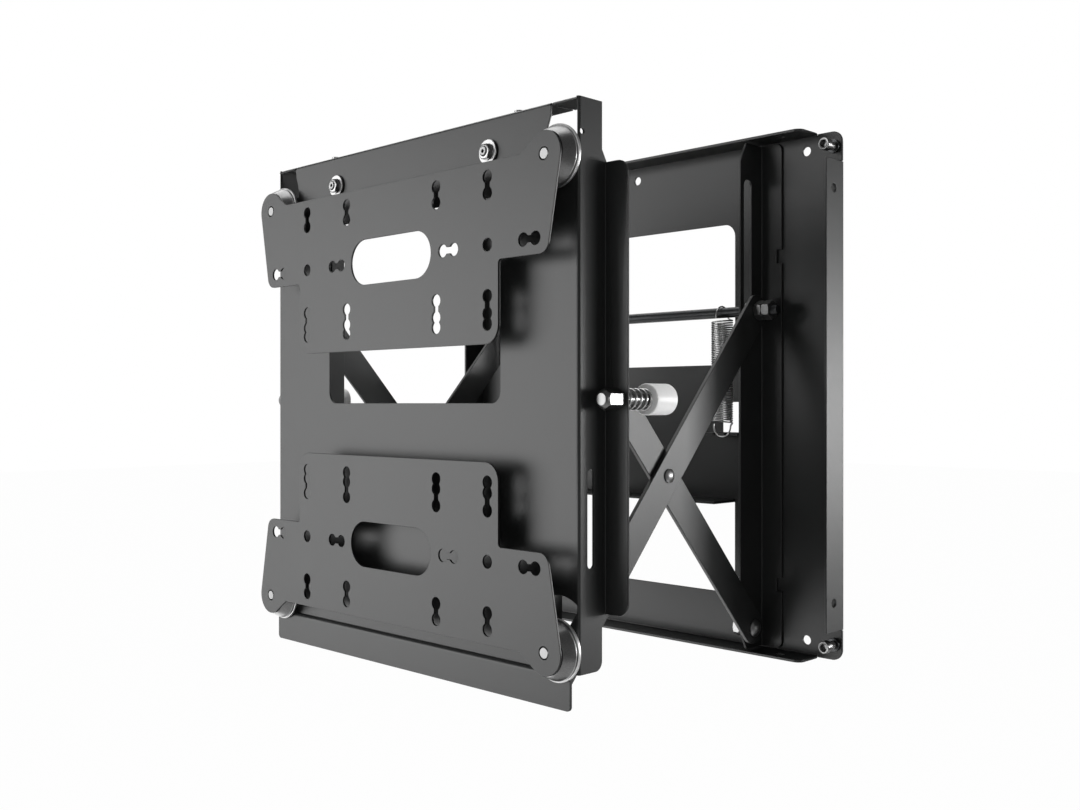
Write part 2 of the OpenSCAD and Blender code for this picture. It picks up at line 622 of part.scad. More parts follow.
// Carriage
web_in_x = carriage_web_x - carriage_t;
bar_low_z = carriage_top_z - bar_h;
bar_depth = 18;
bottom_bar_h = 20;
foot_low_z = frame_low_z + frame_t + height_travel + 1;
module carriage_bracket() color(black) difference() {
    union() {
        in_yz(web_in_x, carriage_t) polygon(rounded([[carriage_y, carriage_low_z, 0],
            [carriage_y + carriage_depth, carriage_low_z, foot_r],
            [carriage_y + carriage_depth, carriage_top_z, foot_r],
            [carriage_y, carriage_top_z, 0]]));
        in_xz(carriage_y, carriage_t) translate([web_in_x - carriage_foot, foot_low_z])
            square([carriage_foot + eps / 2, bar_low_z - foot_low_z]);
    }
    in_yz(web_in_x - eps, carriage_t + 2 * eps)
        slot_2d(front_y, top_z, folded_top_z + slot_spare / 4, slot_w);
    translate([0, front_y, low_z]) rod_x(web_in_x - eps, carriage_web_x + eps, pivot_r + fit);
}
module carriage_bracket_left() mirror([1, 0, 0]) carriage_bracket();
module carriage_bracket_right() carriage_bracket();
module carriage_top_bar() color(black) in_yz(-web_in_x, 2 * web_in_x)
    shape([[carriage_y, bar_low_z, 0], [carriage_y + carriage_t, bar_low_z, 0],
        [carriage_y + carriage_t, carriage_top_z - carriage_t, bend_in],
        [carriage_y + bar_depth, carriage_top_z - carriage_t, 0],
        [carriage_y + bar_depth, carriage_top_z, 0], [carriage_y, carriage_top_z, bend_out]], 4);
module carriage_bottom_bar() color(black)
    translate([-web_in_x, carriage_y + carriage_t, foot_low_z])
        cube([2 * web_in_x, carriage_t, bottom_bar_h]);
module front_pivot_bolts() color(zinc) both_sides() translate([0, front_y, low_z])
    dome_bolt(outer_face_x + turn_gap, web_in_x - washer_t - inner_nut_h - bolt_tail, bolt_head_d);
module front_pivot_nuts() color(zinc) both_sides() translate([0, front_y, low_z])
    inside_nut(web_in_x);
module front_spacers() color(zinc) both_sides() translate([0, front_y, low_z])
    ring_x(carriage_web_x, outer_arm_x - turn_gap, bush_d / 2, pivot_r + fit);
stud_nut_af = 10;
stud_nut_h = 5;
stud_tail = 2;
clamp_washer_d = 15.6;
nut_collar_d = 11.6;
nut_collar_h = 1.2;
stud_front_y = frame_y - turn_gap - washer_t;
module clamp_studs() color(steel) both_sides() translate([stud_x, 0, stud_z])
    rod_y(stud_front_y - stud_nut_h - stud_tail, carriage_y, stud_d / 2);
module clamp_washers() color(zinc) both_sides() translate([stud_x, 0, stud_z]) difference() {
    rod_y(stud_front_y, stud_front_y + washer_t, clamp_washer_d / 2);
    rod_y(stud_front_y - eps, stud_front_y + washer_t + eps, stud_d / 2 + fit);
}
module clamp_nuts() color(zinc) both_sides() translate([stud_x, 0, stud_z]) difference() {
    union() {
        hex_y(stud_front_y - stud_nut_h, stud_front_y, stud_nut_af);
        rod_y(stud_front_y - nut_collar_h, stud_front_y, nut_collar_d / 2);
    }
    rod_y(stud_front_y - stud_nut_h - eps, stud_front_y + eps, stud_d / 2 + fit);
}
height_screw_y = frame_y + frame_depth / 2;
height_screw_rise = 3.5;
height_nut_h = 5;
module height_screw(x) color(zinc) translate([x * height_screw_x, height_screw_y, 0])
    difference() {
        translate([0, 0, carriage_top_z])
            cylinder(h = frame_top_z + height_screw_rise - carriage_top_z, d = stud_d);
        translate([0, 0, frame_top_z + height_screw_rise - socket_depth])
            cylinder(h = socket_depth + eps, r = stud_d / 4 / cos(30), $fn = 6);
    }
module height_screw_left() height_screw(-1);
module height_screw_right() height_screw(1);

// Front frame
wing_r = 8;
wing_lead = 7.6;
lower_corner_r = 6;
side_slot_z0 = screen_z - 98;
side_slot_z1 = screen_z - 43;
side_slot_w = 5.5;
side_hole_d = 3.5;
side_hole_down = 21.1;
corner_cut_x = frame_half_w - corner_cut_in;
// The corner cut-out's slanted edge, as steps inward and heights above its lowest point.
corner_cut_steps = [[0.6, 15.7], [3.2, 9.4], [4.9, 0]];
corner_slit = 1.8;
frame_window_half_w = web_x - frame_window_in;
bottom_flange_half_w = web_x - bottom_flange_in;
reach_r = 24;
reach_x = frame_half_w - 15.7;
reach_in = frame_half_w - 29.7;
reach_z = frame_low_z + 22.8;
reach_low = frame_low_z + 26.6;
reach_slit = 0.8;
reach_side = frame_half_w - frame_t;
// The opening's lower side, where a slanted tab stays beside a slit along the flange.
reach_edge = [[reach_in, reach_low], [reach_side - 8, reach_low],
    [reach_side - reach_slit, reach_low + 8.4], [reach_side - reach_slit, reach_low],
    [reach_side, reach_low], [reach_side, reach_low + reach_r], [reach_in, reach_low + reach_r]];
function frame_section() = [[-frame_half_w, frame_y, frame_bend], [frame_half_w, frame_y, frame_bend],
    [frame_half_w, wing_y, bend_in], [wing_half_w, wing_y, 0], [wing_half_w, wing_back_y, 0],
    [frame_half_w - frame_t, wing_back_y, frame_bend],
    [frame_half_w - frame_t, frame_inside_y, bend_in],
    [frame_t - frame_half_w, frame_inside_y, bend_in],
    [frame_t - frame_half_w, wing_back_y, frame_bend], [-wing_half_w, wing_back_y, 0],
    [-wing_half_w, wing_y, 0], [-frame_half_w, wing_y, bend_in]];
module frame_face_cuts() {
    shape(box_pts(-frame_window_half_w, frame_window_half_w, screen_z,
        frame_top_z - frame_window_down, wing_r));
    for (x = [-1, 1]) {
        polygon(concat([[x * corner_cut_x, frame_top_z - frame_bend]],
            [for (p = corner_cut_steps)
                [x * (corner_cut_x - p[0]), frame_top_z - corner_cut_down + p[1]]],
            [[x * (frame_half_w - frame_t), frame_top_z - corner_cut_down],
             [x * (frame_half_w - frame_t), frame_top_z - frame_bend]]));
        intersection() {
            translate([x * reach_x, reach_z]) circle(r = reach_r);
            polygon([for (p = reach_edge) [x * p[0], p[1]]]);
        }
        for (z = [-1, 1]) translate([x * adjust_x, screen_z + z * adjust_z])
            circle(d = spindle_d + 2);
        slot_2d(x * stud_x, stud_z - height_travel, stud_z + height_travel, stud_d + 1);
    }
}
module front_frame() color(black) difference() {
    union() {
        difference() {
            translate([0, 0, frame_low_z]) linear_extrude(frame_top_z - frame_low_z)
                shape(frame_section(), 4);
            translate([frame_bend - frame_half_w, frame_y - eps, frame_top_z - frame_bend])
                cube([2 * (frame_half_w - frame_bend), frame_t + 2 * eps, frame_bend + eps]);
            both_sides() {
                past_wing(wing_top_z, frame_top_z + eps);
                past_wing(wing_low_z, frame_low_z - eps);
            }
        }
        in_yz(frame_t / 2 - frame_half_w, 2 * frame_half_w - frame_t)
            shape([for (p = bent_edge(frame_top_z, frame_depth, frame_t, frame_bend))
                [frame_y - p[0], p[1], p[2]]], 4);
        in_yz(-bottom_flange_half_w, 2 * bottom_flange_half_w)
            polygon([[frame_y, frame_low_z], [flange_end_y, frame_low_z],
                [flange_end_y, frame_low_z + frame_t], [frame_y, frame_low_z + frame_t]]);
    }
    in_xz(frame_y - eps, frame_t + 2 * eps) frame_face_cuts();
    both_sides() {
        in_yz(frame_half_w - 2 * frame_t, 3 * frame_t)
            slot_2d(height_screw_y, side_slot_z0, side_slot_z1, side_slot_w);
        translate([0, frame_y + 2 * frame_t, frame_top_z - side_hole_down])
            rod_x(frame_half_w - 2 * frame_t, frame_half_w + frame_t, side_hole_d / 2);
        translate([corner_cut_x - corner_slit / 2, frame_y - eps, frame_top_z - frame_bend])
            cube([corner_slit, frame_depth + 2 * eps, frame_bend + eps]);
        translate([buffer_x, 0, buffer_z])
            rod_y(wing_y - eps, wing_back_y + eps, rod_d / 2 + run_fit);
        in_yz(frame_half_w - 2 * frame_t, 3 * frame_t) difference() {
            translate([flange_end_y - lower_corner_r, frame_low_z - eps])
                square([wing_depth - frame_depth + lower_corner_r + eps, lower_corner_r + eps]);
            translate([flange_end_y - lower_corner_r, frame_low_z + lower_corner_r])
                circle(r = lower_corner_r);
        }
        in_xz(wing_y - eps, frame_t + 2 * eps) {
            wing_corner(wing_top_z, -1);
            wing_corner(wing_low_z, 1);
        }
        translate([height_screw_x, height_screw_y, frame_top_z - 2 * frame_t])
            cylinder(h = 3 * frame_t, d = stud_d + 1);
    }
}
// Past a wing's end the side flange steps down over a short slant to its own depth.
module past_wing(z_wing, z_end) {
    lead = sign(z_end - z_wing) * wing_lead;
    in_yz(frame_half_w - frame_t - eps, frame_t + 2 * eps)
        polygon([[wing_back_y + eps, z_wing], [wing_back_y, z_wing], [flange_end_y, z_wing + lead],
            [flange_end_y, z_end], [wing_back_y + eps, z_end]]);
    translate([frame_half_w, flange_end_y, min(z_wing, z_end)])
        cube([wing_half_w - frame_half_w + eps, wing_depth - frame_depth + eps, abs(z_end - z_wing)]);
}
module wing_corner(z, way) difference() {
    translate([wing_half_w - wing_r, way > 0 ? z : z - wing_r]) square(wing_r + eps);
    translate([wing_half_w - wing_r, z + way * wing_r]) circle(r = wing_r);
}
lip_t = 2;
lip_corner_r = 3;
lip_in = 4.3;
lip_half_w = frame_half_w - lip_in;
lip_top_z = frame_low_z;
lip_low_z = lip_top_z - lip_h;
lip_y = frame_y - lip_step;
lip_screw_in = 16;
lip_screw_x = [for (s = [-1, 0, 1]) s * (bottom_flange_half_w - lip_screw_in)];
lip_screw_d = 4;
lip_screw_y = height_screw_y;
module bottom_lip() color(black) difference() {
    union() {
        in_yz(-lip_half_w, 2 * lip_half_w) shape([[lip_y, lip_low_z, 0], [lip_y + lip_t, lip_low_z, 0],
            [lip_y + lip_t, lip_top_z - lip_t, bend_in], [frame_inside_y, lip_top_z - lip_t, 0],
            [frame_inside_y, lip_top_z, 0], [lip_y, lip_top_z, lip_t + bend_in]], 4);
        translate([-bottom_flange_half_w, frame_y, lip_top_z - lip_t])
            cube([2 * bottom_flange_half_w, frame_depth, lip_t]);
    }
    both_sides() in_xz(lip_y - eps, lip_t + 2 * eps) difference() {
        translate([lip_half_w - lip_corner_r, lip_low_z - eps]) square(lip_corner_r + eps);
        translate([lip_half_w - lip_corner_r, lip_low_z + lip_corner_r]) circle(r = lip_corner_r);
    }
    for (x = lip_screw_x) translate([x, lip_screw_y, lip_top_z - lip_t - eps])
        cylinder(h = lip_t + 2 * eps, d = lip_screw_d + 2 * fit);
}
module lip_screws() color(zinc) for (x = lip_screw_x)
    translate([x, lip_screw_y, lip_top_z - lip_t]) {
        translate([0, 0, -2.5]) cylinder(h = 2.5, d = 2 * lip_screw_d);
        translate([0, 0, -eps]) cylinder(h = lip_t + eps, d = lip_screw_d);
    }
module threaded_inserts() color(zinc) for (x = [-1, 1], z = [-1, 1])
    translate([x * adjust_x, 0, screen_z + z * adjust_z]) difference() {
        rod_y(frame_inside_y, frame_inside_y + insert_h, insert_d / 2);
        rod_y(frame_inside_y - eps, frame_inside_y + insert_h + eps, spindle_d / 2 + run_fit);
    }
module height_nuts() color(zinc) both_sides()
    translate([height_screw_x, height_screw_y, frame_top_z - frame_t - height_nut_h])
        difference() {
            cylinder(h = height_nut_h, r = stud_nut_af / 2 / cos(30), $fn = 6);
            translate([0, 0, -eps]) cylinder(h = height_nut_h + 2 * eps, d = stud_d + 2 * run_fit);
        }

// Buffers
buffer_spring_r = (buffer_spring_od - buffer_spring_wire) / 2;
buffer_spring_path = coil_path(buffer_spring_r, buffer_spring_wire / 2 + turn_gap,
    buffer_gap - buffer_spring_wire / 2 - turn_gap, buffer_spring_turns);
buffer_spring_gap = least_gap(buffer_spring_path, buffer_spring_wire);
echo(buffer_spring_gap = buffer_spring_gap);
module buffer_spring(x) color(steel) translate([x * buffer_x, wing_back_y, buffer_z])
    rotate([-90, 0, 0]) tube(buffer_spring_path, buffer_spring_wire / 2);
module buffer_spring_left() buffer_spring(-1);
module buffer_spring_right() buffer_spring(1);
buffer_front_y = wing_back_y + buffer_gap;
hex_nose_r = hex_af / 3;
hex_nose_h = 1.8;
module buffer_rod(x) color(steel) translate([x * buffer_x, 0, buffer_z]) {
    intersection() {
        rotate([0, 30, 0]) hex_y(wing_y - hex_len, wing_y, hex_af);
        translate([0, wing_y - hex_len, 0]) rotate([-90, 0, 0]) union() {
            cylinder(h = hex_nose_h, r1 = hex_nose_r, r2 = hex_af / 2);
            translate([0, 0, hex_nose_h]) cylinder(h = hex_len, r = hex_af);
        }
    }
    rod_y(wing_y - eps / 2, buffer_front_y + buffer_len / 2, rod_d / 2);
}
module buffer_rod_left() buffer_rod(-1);
module buffer_rod_right() buffer_rod(1);
module nylon_buffer(x) color(nylon) translate([x * buffer_x, 0, buffer_z]) difference() {
    rod_y(buffer_front_y, buffer_front_y + buffer_len, buffer_d / 2);
    rod_y(buffer_front_y - eps, buffer_front_y + buffer_len / 2 + fit, rod_d / 2 + fit);
}
module nylon_buffer_left() nylon_buffer(-1);
module nylon_buffer_right() nylon_buffer(1);

// Screen plates, drawn above the screen centre and mirrored for the lower one.
taper = 10.7;
ear_lean = 125;
shoulder_r = 8;
plate_r = 12;
near_lobe = half_pitch / 2;
lobe_step = 6.6;
lobe_far = 17.7;
pair_step = 10.5;
pair_x = adjust_x - 17.6;
pair_z = adjust_z - 17.6;
plate_outer = adjust_z + plate_over;
neck_w = 4.2;
function plate_right() = let (
        c = [adjust_x, adjust_z], side = c + adjust_ear_r * [cos(taper), -sin(taper)],
        top = c + adjust_ear_r * [cos(ear_lean), sin(ear_lean)])
    concat([[plate_half_w, plate_inner, plate_r], [plate_half_w, shoulder_in, 2.5],
        [side[0] - (side[1] - shoulder_in) * tan(taper), shoulder_in, shoulder_r]],
        arc(c, adjust_ear_r, -taper, ear_lean, 16),
        [[top[0] - (top[1] - plate_outer) / tan(ear_lean - 90), plate_outer, 3]]);
module lobes(points) {
    for (p = points) translate(p) circle(d = screen_hole_d);
    for (i = [1 : len(points) - 1]) {
        a = points[i - 1];
        b = points[i];
        vertical = a[0] == b[0];
        translate([min(a[0], b[0]) - (vertical ? neck_w / 2 : 0),
            min(a[1], b[1]) - (vertical ? 0 : neck_w / 2)])
            square(vertical ? [neck_w, abs(b[1] - a[1])] : [abs(b[0] - a[0]), neck_w]);
    }
}
module plate_2d() difference() {
    polygon(rounded(concat(plate_right(), flipped(plate_right()))));
    for (x = [-1, 1]) {
        translate([x * half_pitch, half_pitch]) circle(d = screen_hole_d);
        translate([x * adjust_x, adjust_z]) circle(r = spindle_d / 2 + run_fit);
        for (c = [near_lobe, half_pitch]) {
            lobes([[x * c, pair_z], [x * c, pair_z + pair_step]]);
            lobes([[x * c, near_lobe], [x * c, near_lobe + lobe_step], [x * c, near_lobe + lobe_far]]);
        }
        lobes([[x * (near_lobe + lobe_step), half_pitch], [x * (near_lobe + lobe_far), half_pitch]]);
        lobes([[x * pair_x, half_pitch], [x * (pair_x + pair_step), half_pitch]]);
        translate([x * (oblong_half_w - oblong_h / 2), half_pitch]) circle(d = oblong_h);
    }
    translate([oblong_h / 2 - oblong_half_w, half_pitch - oblong_h / 2])
        square([2 * oblong_half_w - oblong_h, oblong_h]);
}
module screen_plate() color(black) in_xz(plate_y, plate_t) plate_2d();
module screen_plate_top() translate([0, 0, screen_z]) screen_plate();
module screen_plate_bottom() translate([0, 0, screen_z]) mirror([0, 0, 1]) screen_plate();

wheel_gap = 0.2;
wheel_y = plate_y + plate_t + wheel_gap;
groove_w = 0.7;
groove_depth = 1;
flare_steps = 6;
// The barrel flares from the screen plate to a thin groove before the rim.
function flare() = [for (i = [0 : flare_steps])
    [(wheel_front_d + (wheel_d - wheel_front_d) * sin(90 * i / flare_steps)) / 2,
     (wheel_len - groove_w) * i / flare_steps]];
module adjuster_wheel(x, z) color(steel)
    translate([x * adjust_x, wheel_y, screen_z + z * adjust_z]) rotate([-90, 0, 0])
        rotate_extrude() polygon(concat([[spindle_d / 2 + fit, 0]], flare(),
            [[wheel_d / 2 - groove_depth, wheel_len - groove_w], [wheel_d / 2 - groove_depth, wheel_len],
             [wheel_rim_d / 2, wheel_len], [wheel_rim_d / 2, wheel_len + wheel_rim_t],
             [spindle_d / 2 + fit, wheel_len + wheel_rim_t]]));
module adjuster_wheel_top_left() adjuster_wheel(-1, 1);
module adjuster_wheel_top_right() adjuster_wheel(1, 1);
module adjuster_wheel_bottom_left() adjuster_wheel(-1, -1);
module adjuster_wheel_bottom_right() adjuster_wheel(1, -1);
spindle_tail = 10;
module spindle(x, z) color(steel) translate([x * adjust_x, 0, screen_z + z * adjust_z])
    rod_y(plate_y, frame_inside_y + insert_h + spindle_tail, spindle_d / 2);
module spindle_top_left() spindle(-1, 1);
module spindle_top_right() spindle(1, 1);
module spindle_bottom_left() spindle(-1, -1);
module spindle_bottom_right() spindle(1, -1);

wall_plate();
slide_bracket_left();
slide_bracket_right();
rear_pivot_bolts();
rear_pivot_nuts();
rear_spacers();
press_nuts();
levelling_screw_top_left();
levelling_screw_top_right();
levelling_screw_bottom_left();
levelling_screw_bottom_right();
extension_spring_left();
extension_spring_right();
inner_arm_left();
inner_arm_right();
centre_rivets();
slide_pins();
slide_pin_nuts();
outer_arm_left();
outer_arm_right();
cross_shaft();
shaft_bushes();
shaft_nuts();
shaft_locknuts();
carriage_bracket_left();
carriage_bracket_right();
carriage_top_bar();
carriage_bottom_bar();
front_pivot_bolts();
front_pivot_nuts();
front_spacers();
clamp_studs();
clamp_washers();
clamp_nuts();
height_screw_left();
height_screw_right();
front_frame();
bottom_lip();
lip_screws();
threaded_inserts();
height_nuts();
buffer_spring_left();
buffer_spring_right();
buffer_rod_left();
buffer_rod_right();
nylon_buffer_left();
nylon_buffer_right();
screen_plate_top();
screen_plate_bottom();
adjuster_wheel_top_left();
adjuster_wheel_top_right();
adjuster_wheel_bottom_left();
adjuster_wheel_bottom_right();
spindle_top_left();
spindle_top_right();
spindle_bottom_left();
spindle_bottom_right();
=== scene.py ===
import json
import math

import bmesh
import bpy
from mathutils import Matrix, Vector
from mathutils.bvhtree import BVHTree

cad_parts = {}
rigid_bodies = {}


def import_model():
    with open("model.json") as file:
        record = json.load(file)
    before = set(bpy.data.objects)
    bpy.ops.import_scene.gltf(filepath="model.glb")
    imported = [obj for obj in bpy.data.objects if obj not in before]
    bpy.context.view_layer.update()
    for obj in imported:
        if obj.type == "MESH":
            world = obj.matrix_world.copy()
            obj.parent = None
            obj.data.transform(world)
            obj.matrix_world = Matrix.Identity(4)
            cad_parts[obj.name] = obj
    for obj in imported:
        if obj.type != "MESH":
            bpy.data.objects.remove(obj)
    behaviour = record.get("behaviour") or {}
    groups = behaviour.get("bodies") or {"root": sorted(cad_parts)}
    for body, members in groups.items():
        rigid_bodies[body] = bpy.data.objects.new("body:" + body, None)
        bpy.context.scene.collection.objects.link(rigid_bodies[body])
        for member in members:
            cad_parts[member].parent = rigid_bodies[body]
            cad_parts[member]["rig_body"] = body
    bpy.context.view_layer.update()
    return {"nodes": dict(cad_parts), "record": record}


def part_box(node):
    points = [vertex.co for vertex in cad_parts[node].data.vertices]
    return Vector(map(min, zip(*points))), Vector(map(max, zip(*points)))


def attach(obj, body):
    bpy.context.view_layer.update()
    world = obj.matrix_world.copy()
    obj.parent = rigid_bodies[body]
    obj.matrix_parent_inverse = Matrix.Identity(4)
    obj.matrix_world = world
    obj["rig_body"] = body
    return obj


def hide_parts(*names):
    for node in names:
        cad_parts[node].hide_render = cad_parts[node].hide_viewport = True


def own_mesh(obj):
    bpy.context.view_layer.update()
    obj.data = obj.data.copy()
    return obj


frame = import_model()
nodes = frame["nodes"]
mm = 0.001
metre = 1000  # in mm: the scale of a pattern is a metre over its real size
print("frame loaded:", len(nodes), "pieces")


def linearColour(code):
    # From an sRGB hex colour to the linear values that a material takes.
    parts = [int(code[i:i + 2], 16) / 255 for i in (1, 3, 5)]
    return [c / 12.92 if c <= 0.04045 else ((c + 0.055) / 1.055) ** 2.4 for c in parts] + [1.0]


def addNode(tree, kind, settings=None, inputs=None):
    node = tree.nodes.new(kind)
    for key, value in (settings or {}).items():
        setattr(node, key, value)
    for key, value in (inputs or {}).items():
        if isinstance(value, bpy.types.NodeSocket):
            tree.links.new(value, node.inputs[key])
        else:
            node.inputs[key].default_value = value
    return node


def newMaterial(name, surface):
    material = bpy.data.materials.new(name)
    material.use_nodes = True
    tree = material.node_tree
    shader = tree.nodes["Principled BSDF"]
    for key, value in surface.items():
        shader.inputs[key].default_value = value
    place = addNode(tree, "ShaderNodeTexCoord")
    return material, tree, shader, place.outputs["Object"]


# Black epoxy-polyester powder coat, sprayed on pressed steel and baked: an even dark satin
# with a faint orange peel about 1.4 mm across and a fine grain. The real grain is near 0.1 mm
# and is drawn at 0.35 mm, so that it shows. Lengths here are in mm.
powderLook = {"dark": "#1e1f1f", "light": "#242525", "cloud": 60, "peel": 1.4, "grain": 0.35,
              "smoothest": 0.36, "roughest": 0.45, "peelBump": 0.10, "peelDepth": 0.3,
              "grainBump": 0.12, "grainDepth": 0.1}
powderCoat, tree, shader, place = newMaterial(
    "blackPowderCoatedSteel", {"IOR": 1.5, "Metallic": 0.0, "Specular IOR Level": 0.4})
cloud = addNode(tree, "ShaderNodeTexNoise", None,
                {"Vector": place, "Scale": metre / powderLook["cloud"], "Detail": 3.0})
peel = addNode(tree, "ShaderNodeTexNoise", None,
               {"Vector": place, "Scale": metre / powderLook["peel"], "Detail": 2.0})
grain = addNode(tree, "ShaderNodeTexNoise", None,
                {"Vector": place, "Scale": metre / powderLook["grain"], "Detail": 1.0})
tone = addNode(tree, "ShaderNodeMix", {"data_type": "RGBA"},
               {0: cloud.outputs["Fac"], 6: linearColour(powderLook["dark"]),
                7: linearColour(powderLook["light"])})
tree.links.new(tone.outputs[2], shader.inputs["Base Color"])
sheen = addNode(tree, "ShaderNodeMapRange", None,
                {"Value": grain.outputs["Fac"], "To Min": powderLook["smoothest"],
                 "To Max": powderLook["roughest"]})
tree.links.new(sheen.outputs["Result"], shader.inputs["Roughness"])
peelBump = addNode(tree, "ShaderNodeBump", None,
                   {"Height": peel.outputs["Fac"], "Strength": powderLook["peelBump"],
                    "Distance": powderLook["peelDepth"] * mm})
grainBump = addNode(tree, "ShaderNodeBump", None,
                    {"Height": grain.outputs["Fac"], "Strength": powderLook["grainBump"],
                     "Distance": powderLook["grainDepth"] * mm,
                     "Normal": peelBump.outputs["Normal"]})
tree.links.new(grainBump.outputs["Normal"], shader.inputs["Normal"])

# Bright zinc electroplate on rolled and headed steel: pale grey metal, a little uneven and cloudy.
zincLook = {"dark": "#888888", "light": "#a5a5a5", "cloud": 3.0, "smoothest": 0.27, "roughest": 0.40}
zincPlate, tree, shader, place = newMaterial("brightZincPlatedSteel", {"Metallic": 1.0})
cloud = addNode(tree, "ShaderNodeTexNoise", None,
                {"Vector": place, "Scale": metre / zincLook["cloud"], "Detail": 4.0})
tone = addNode(tree, "ShaderNodeMix", {"data_type": "RGBA"},
               {0: cloud.outputs["Fac"], 6: linearColour(zincLook["dark"]),
                7: linearColour(zincLook["light"])})
tree.links.new(tone.outputs[2], shader.inputs["Base Color"])
haze = addNode(tree, "ShaderNodeMapRange", None,
               {"Value": cloud.outputs["Fac"], "To Min": zincLook["smoothest"],
                "To Max": zincLook["roughest"]})
tree.links.new(haze.outputs["Result"], shader.inputs["Roughness"])

# Free-cutting steel turned on a lathe and nickel plated: bright, with fine rings left by the tool.
# The feed marks are about 0.1 mm apart and are drawn at 0.4 mm, so that they show.
turnedLook = {"dark": "#686868", "light": "#828282", "rough": 0.3, "feed": 0.4, "markLength": 50,
              "bump": 0.15, "depth": 0.1}
turnedSteel, tree, shader, place = newMaterial(
    "turnedNickelPlatedSteel", {"Metallic": 1.0, "Roughness": turnedLook["rough"]})
along = addNode(tree, "ShaderNodeMapping", None,
                {"Vector": place, "Scale": (metre / turnedLook["markLength"],
                                            metre / turnedLook["feed"],
                                            metre / turnedLook["markLength"])})
marks = addNode(tree, "ShaderNodeTexNoise", None,
                {"Vector": along.outputs["Vector"], "Scale": 1.0, "Detail": 2.0})
tone = addNode(tree, "ShaderNodeMix", {"data_type": "RGBA"},
               {0: marks.outputs["Fac"], 6: linearColour(turnedLook["dark"]),
                7: linearColour(turnedLook["light"])})
tree.links.new(tone.outputs[2], shader.inputs["Base Color"])
toolBump = addNode(tree, "ShaderNodeBump", None,
                   {"Height": marks.outputs["Fac"], "Strength": turnedLook["bump"],
                    "Distance": turnedLook["depth"] * mm})
tree.links.new(toolBump.outputs["Normal"], shader.inputs["Normal"])

# The wheels' barrels are knurled by a rolled tool: grey steel with fine slanting marks, which
# are about 0.5 mm apart and are drawn so.
barrelLook = {"dark": "#626262", "light": "#8e8e8e", "rough": 0.32, "mark": 0.5, "markLength": 6,
              "slant": 0.5}
knurledSteel, tree, shader, place = newMaterial(
    "knurledSteel", {"Metallic": 1.0, "Roughness": barrelLook["rough"]})
slant = addNode(tree, "ShaderNodeMapping", None,
                {"Vector": place, "Rotation": (barrelLook["slant"], 0.0, 0.0),
                 "Scale": (metre / barrelLook["mark"], metre / barrelLook["markLength"],
                           metre / barrelLook["mark"])})
marks = addNode(tree, "ShaderNodeTexNoise", None,
                {"Vector": slant.outputs["Vector"], "Scale": 1.0, "Detail": 2.0})
tone = addNode(tree, "ShaderNodeMix", {"data_type": "RGBA"},
               {0: marks.outputs["Fac"], 6: linearColour(barrelLook["dark"]),
                7: linearColour(barrelLook["light"])})
tree.links.new(tone.outputs[2], shader.inputs["Base Color"])

plainLooks = {
    # The cross shaft's nuts: zinc-plated steel drawn as a dark matt grey metal, darker than the zinc,
    # as a painted dark reflection of their surroundings.
    "zincNutWithPaintedDarkReflection": {"dark": "#6a6a6a", "light": "#868686", "rough": 0.4, "cloud": 2.0,
                        "detail": 4.0},
    # The wheels' rims are burnished after turning: the brightest metal here.
    "burnishedSteel": {"dark": "#bababa", "light": "#d0d0d0", "rough": 0.38, "cloud": 5.0,
                       "detail": 3.0},
    # Spring wire, cold drawn and clear zinc plated: smooth bright metal, slightly streaked by the die.
    "drawnSpringWire": {"dark": "#b2b2b2", "light": "#c8c8c8", "rough": 0.3, "cloud": 1.0,
                        "detail": 2.0},
    # Ground bar, blackened in a hot oxide bath: dark metal with a soft sheen.
    "blackOxideSteel": {"dark": "#3c3d3e", "light": "#4b4c4d", "rough": 0.38, "cloud": 8.0,
                        "detail": 3.0}}
plainMetal = {}
for name, look in plainLooks.items():
    plainMetal[name], tree, shader, place = newMaterial(
        name, {"Metallic": 1.0, "Roughness": look["rough"]})
    cloud = addNode(tree, "ShaderNodeTexNoise", None,
                    {"Vector": place, "Scale": metre / look["cloud"], "Detail": look["detail"]})
    tone = addNode(tree, "ShaderNodeMix", {"data_type": "RGBA"},
                   {0: cloud.outputs["Fac"], 6: linearColour(look["dark"]),
                    7: linearColour(look["light"])})
    tree.links.new(tone.outputs[2], shader.inputs["Base Color"])

# Natural nylon turned from rod: milky white, waxy, light scatters a little way in. The feed marks
# are about 0.1 mm apart and are drawn at 0.5 mm.
nylonLook = {"dark": "#f3f3f2", "light": "#fafafa", "rough": 0.42, "scatter": 0.12, "scatterDepth": 3,
             "feed": 0.5, "markLength": 33, "bump": 0.08, "depth": 0.1}
whiteNylon, tree, shader, place = newMaterial(
    "turnedWhiteNylon", {"Roughness": nylonLook["rough"], "IOR": 1.53,
                         "Subsurface Weight": nylonLook["scatter"],
                         "Subsurface Radius": [nylonLook["scatterDepth"] * mm] * 3,
                         "Subsurface Scale": 1.0})
along = addNode(tree, "ShaderNodeMapping", None,
                {"Vector": place, "Scale": (metre / nylonLook["markLength"],
                                            metre / nylonLook["feed"],
                                            metre / nylonLook["markLength"])})
marks = addNode(tree, "ShaderNodeTexNoise", None,
                {"Vector": along.outputs["Vector"], "Scale": 1.0, "Detail": 2.0})
tone = addNode(tree, "ShaderNodeMix", {"data_type": "RGBA"},
               {0: marks.outputs["Fac"], 6: linearColour(nylonLook["dark"]),
                7: linearColour(nylonLook["light"])})
tree.links.new(tone.outputs[2], shader.inputs["Base Color"])
nylonBump = addNode(tree, "ShaderNodeBump", None,
                    {"Height": marks.outputs["Fac"], "Strength": nylonLook["bump"],
                     "Distance": nylonLook["depth"] * mm})
tree.links.new(nylonBump.outputs["Normal"], shader.inputs["Normal"])

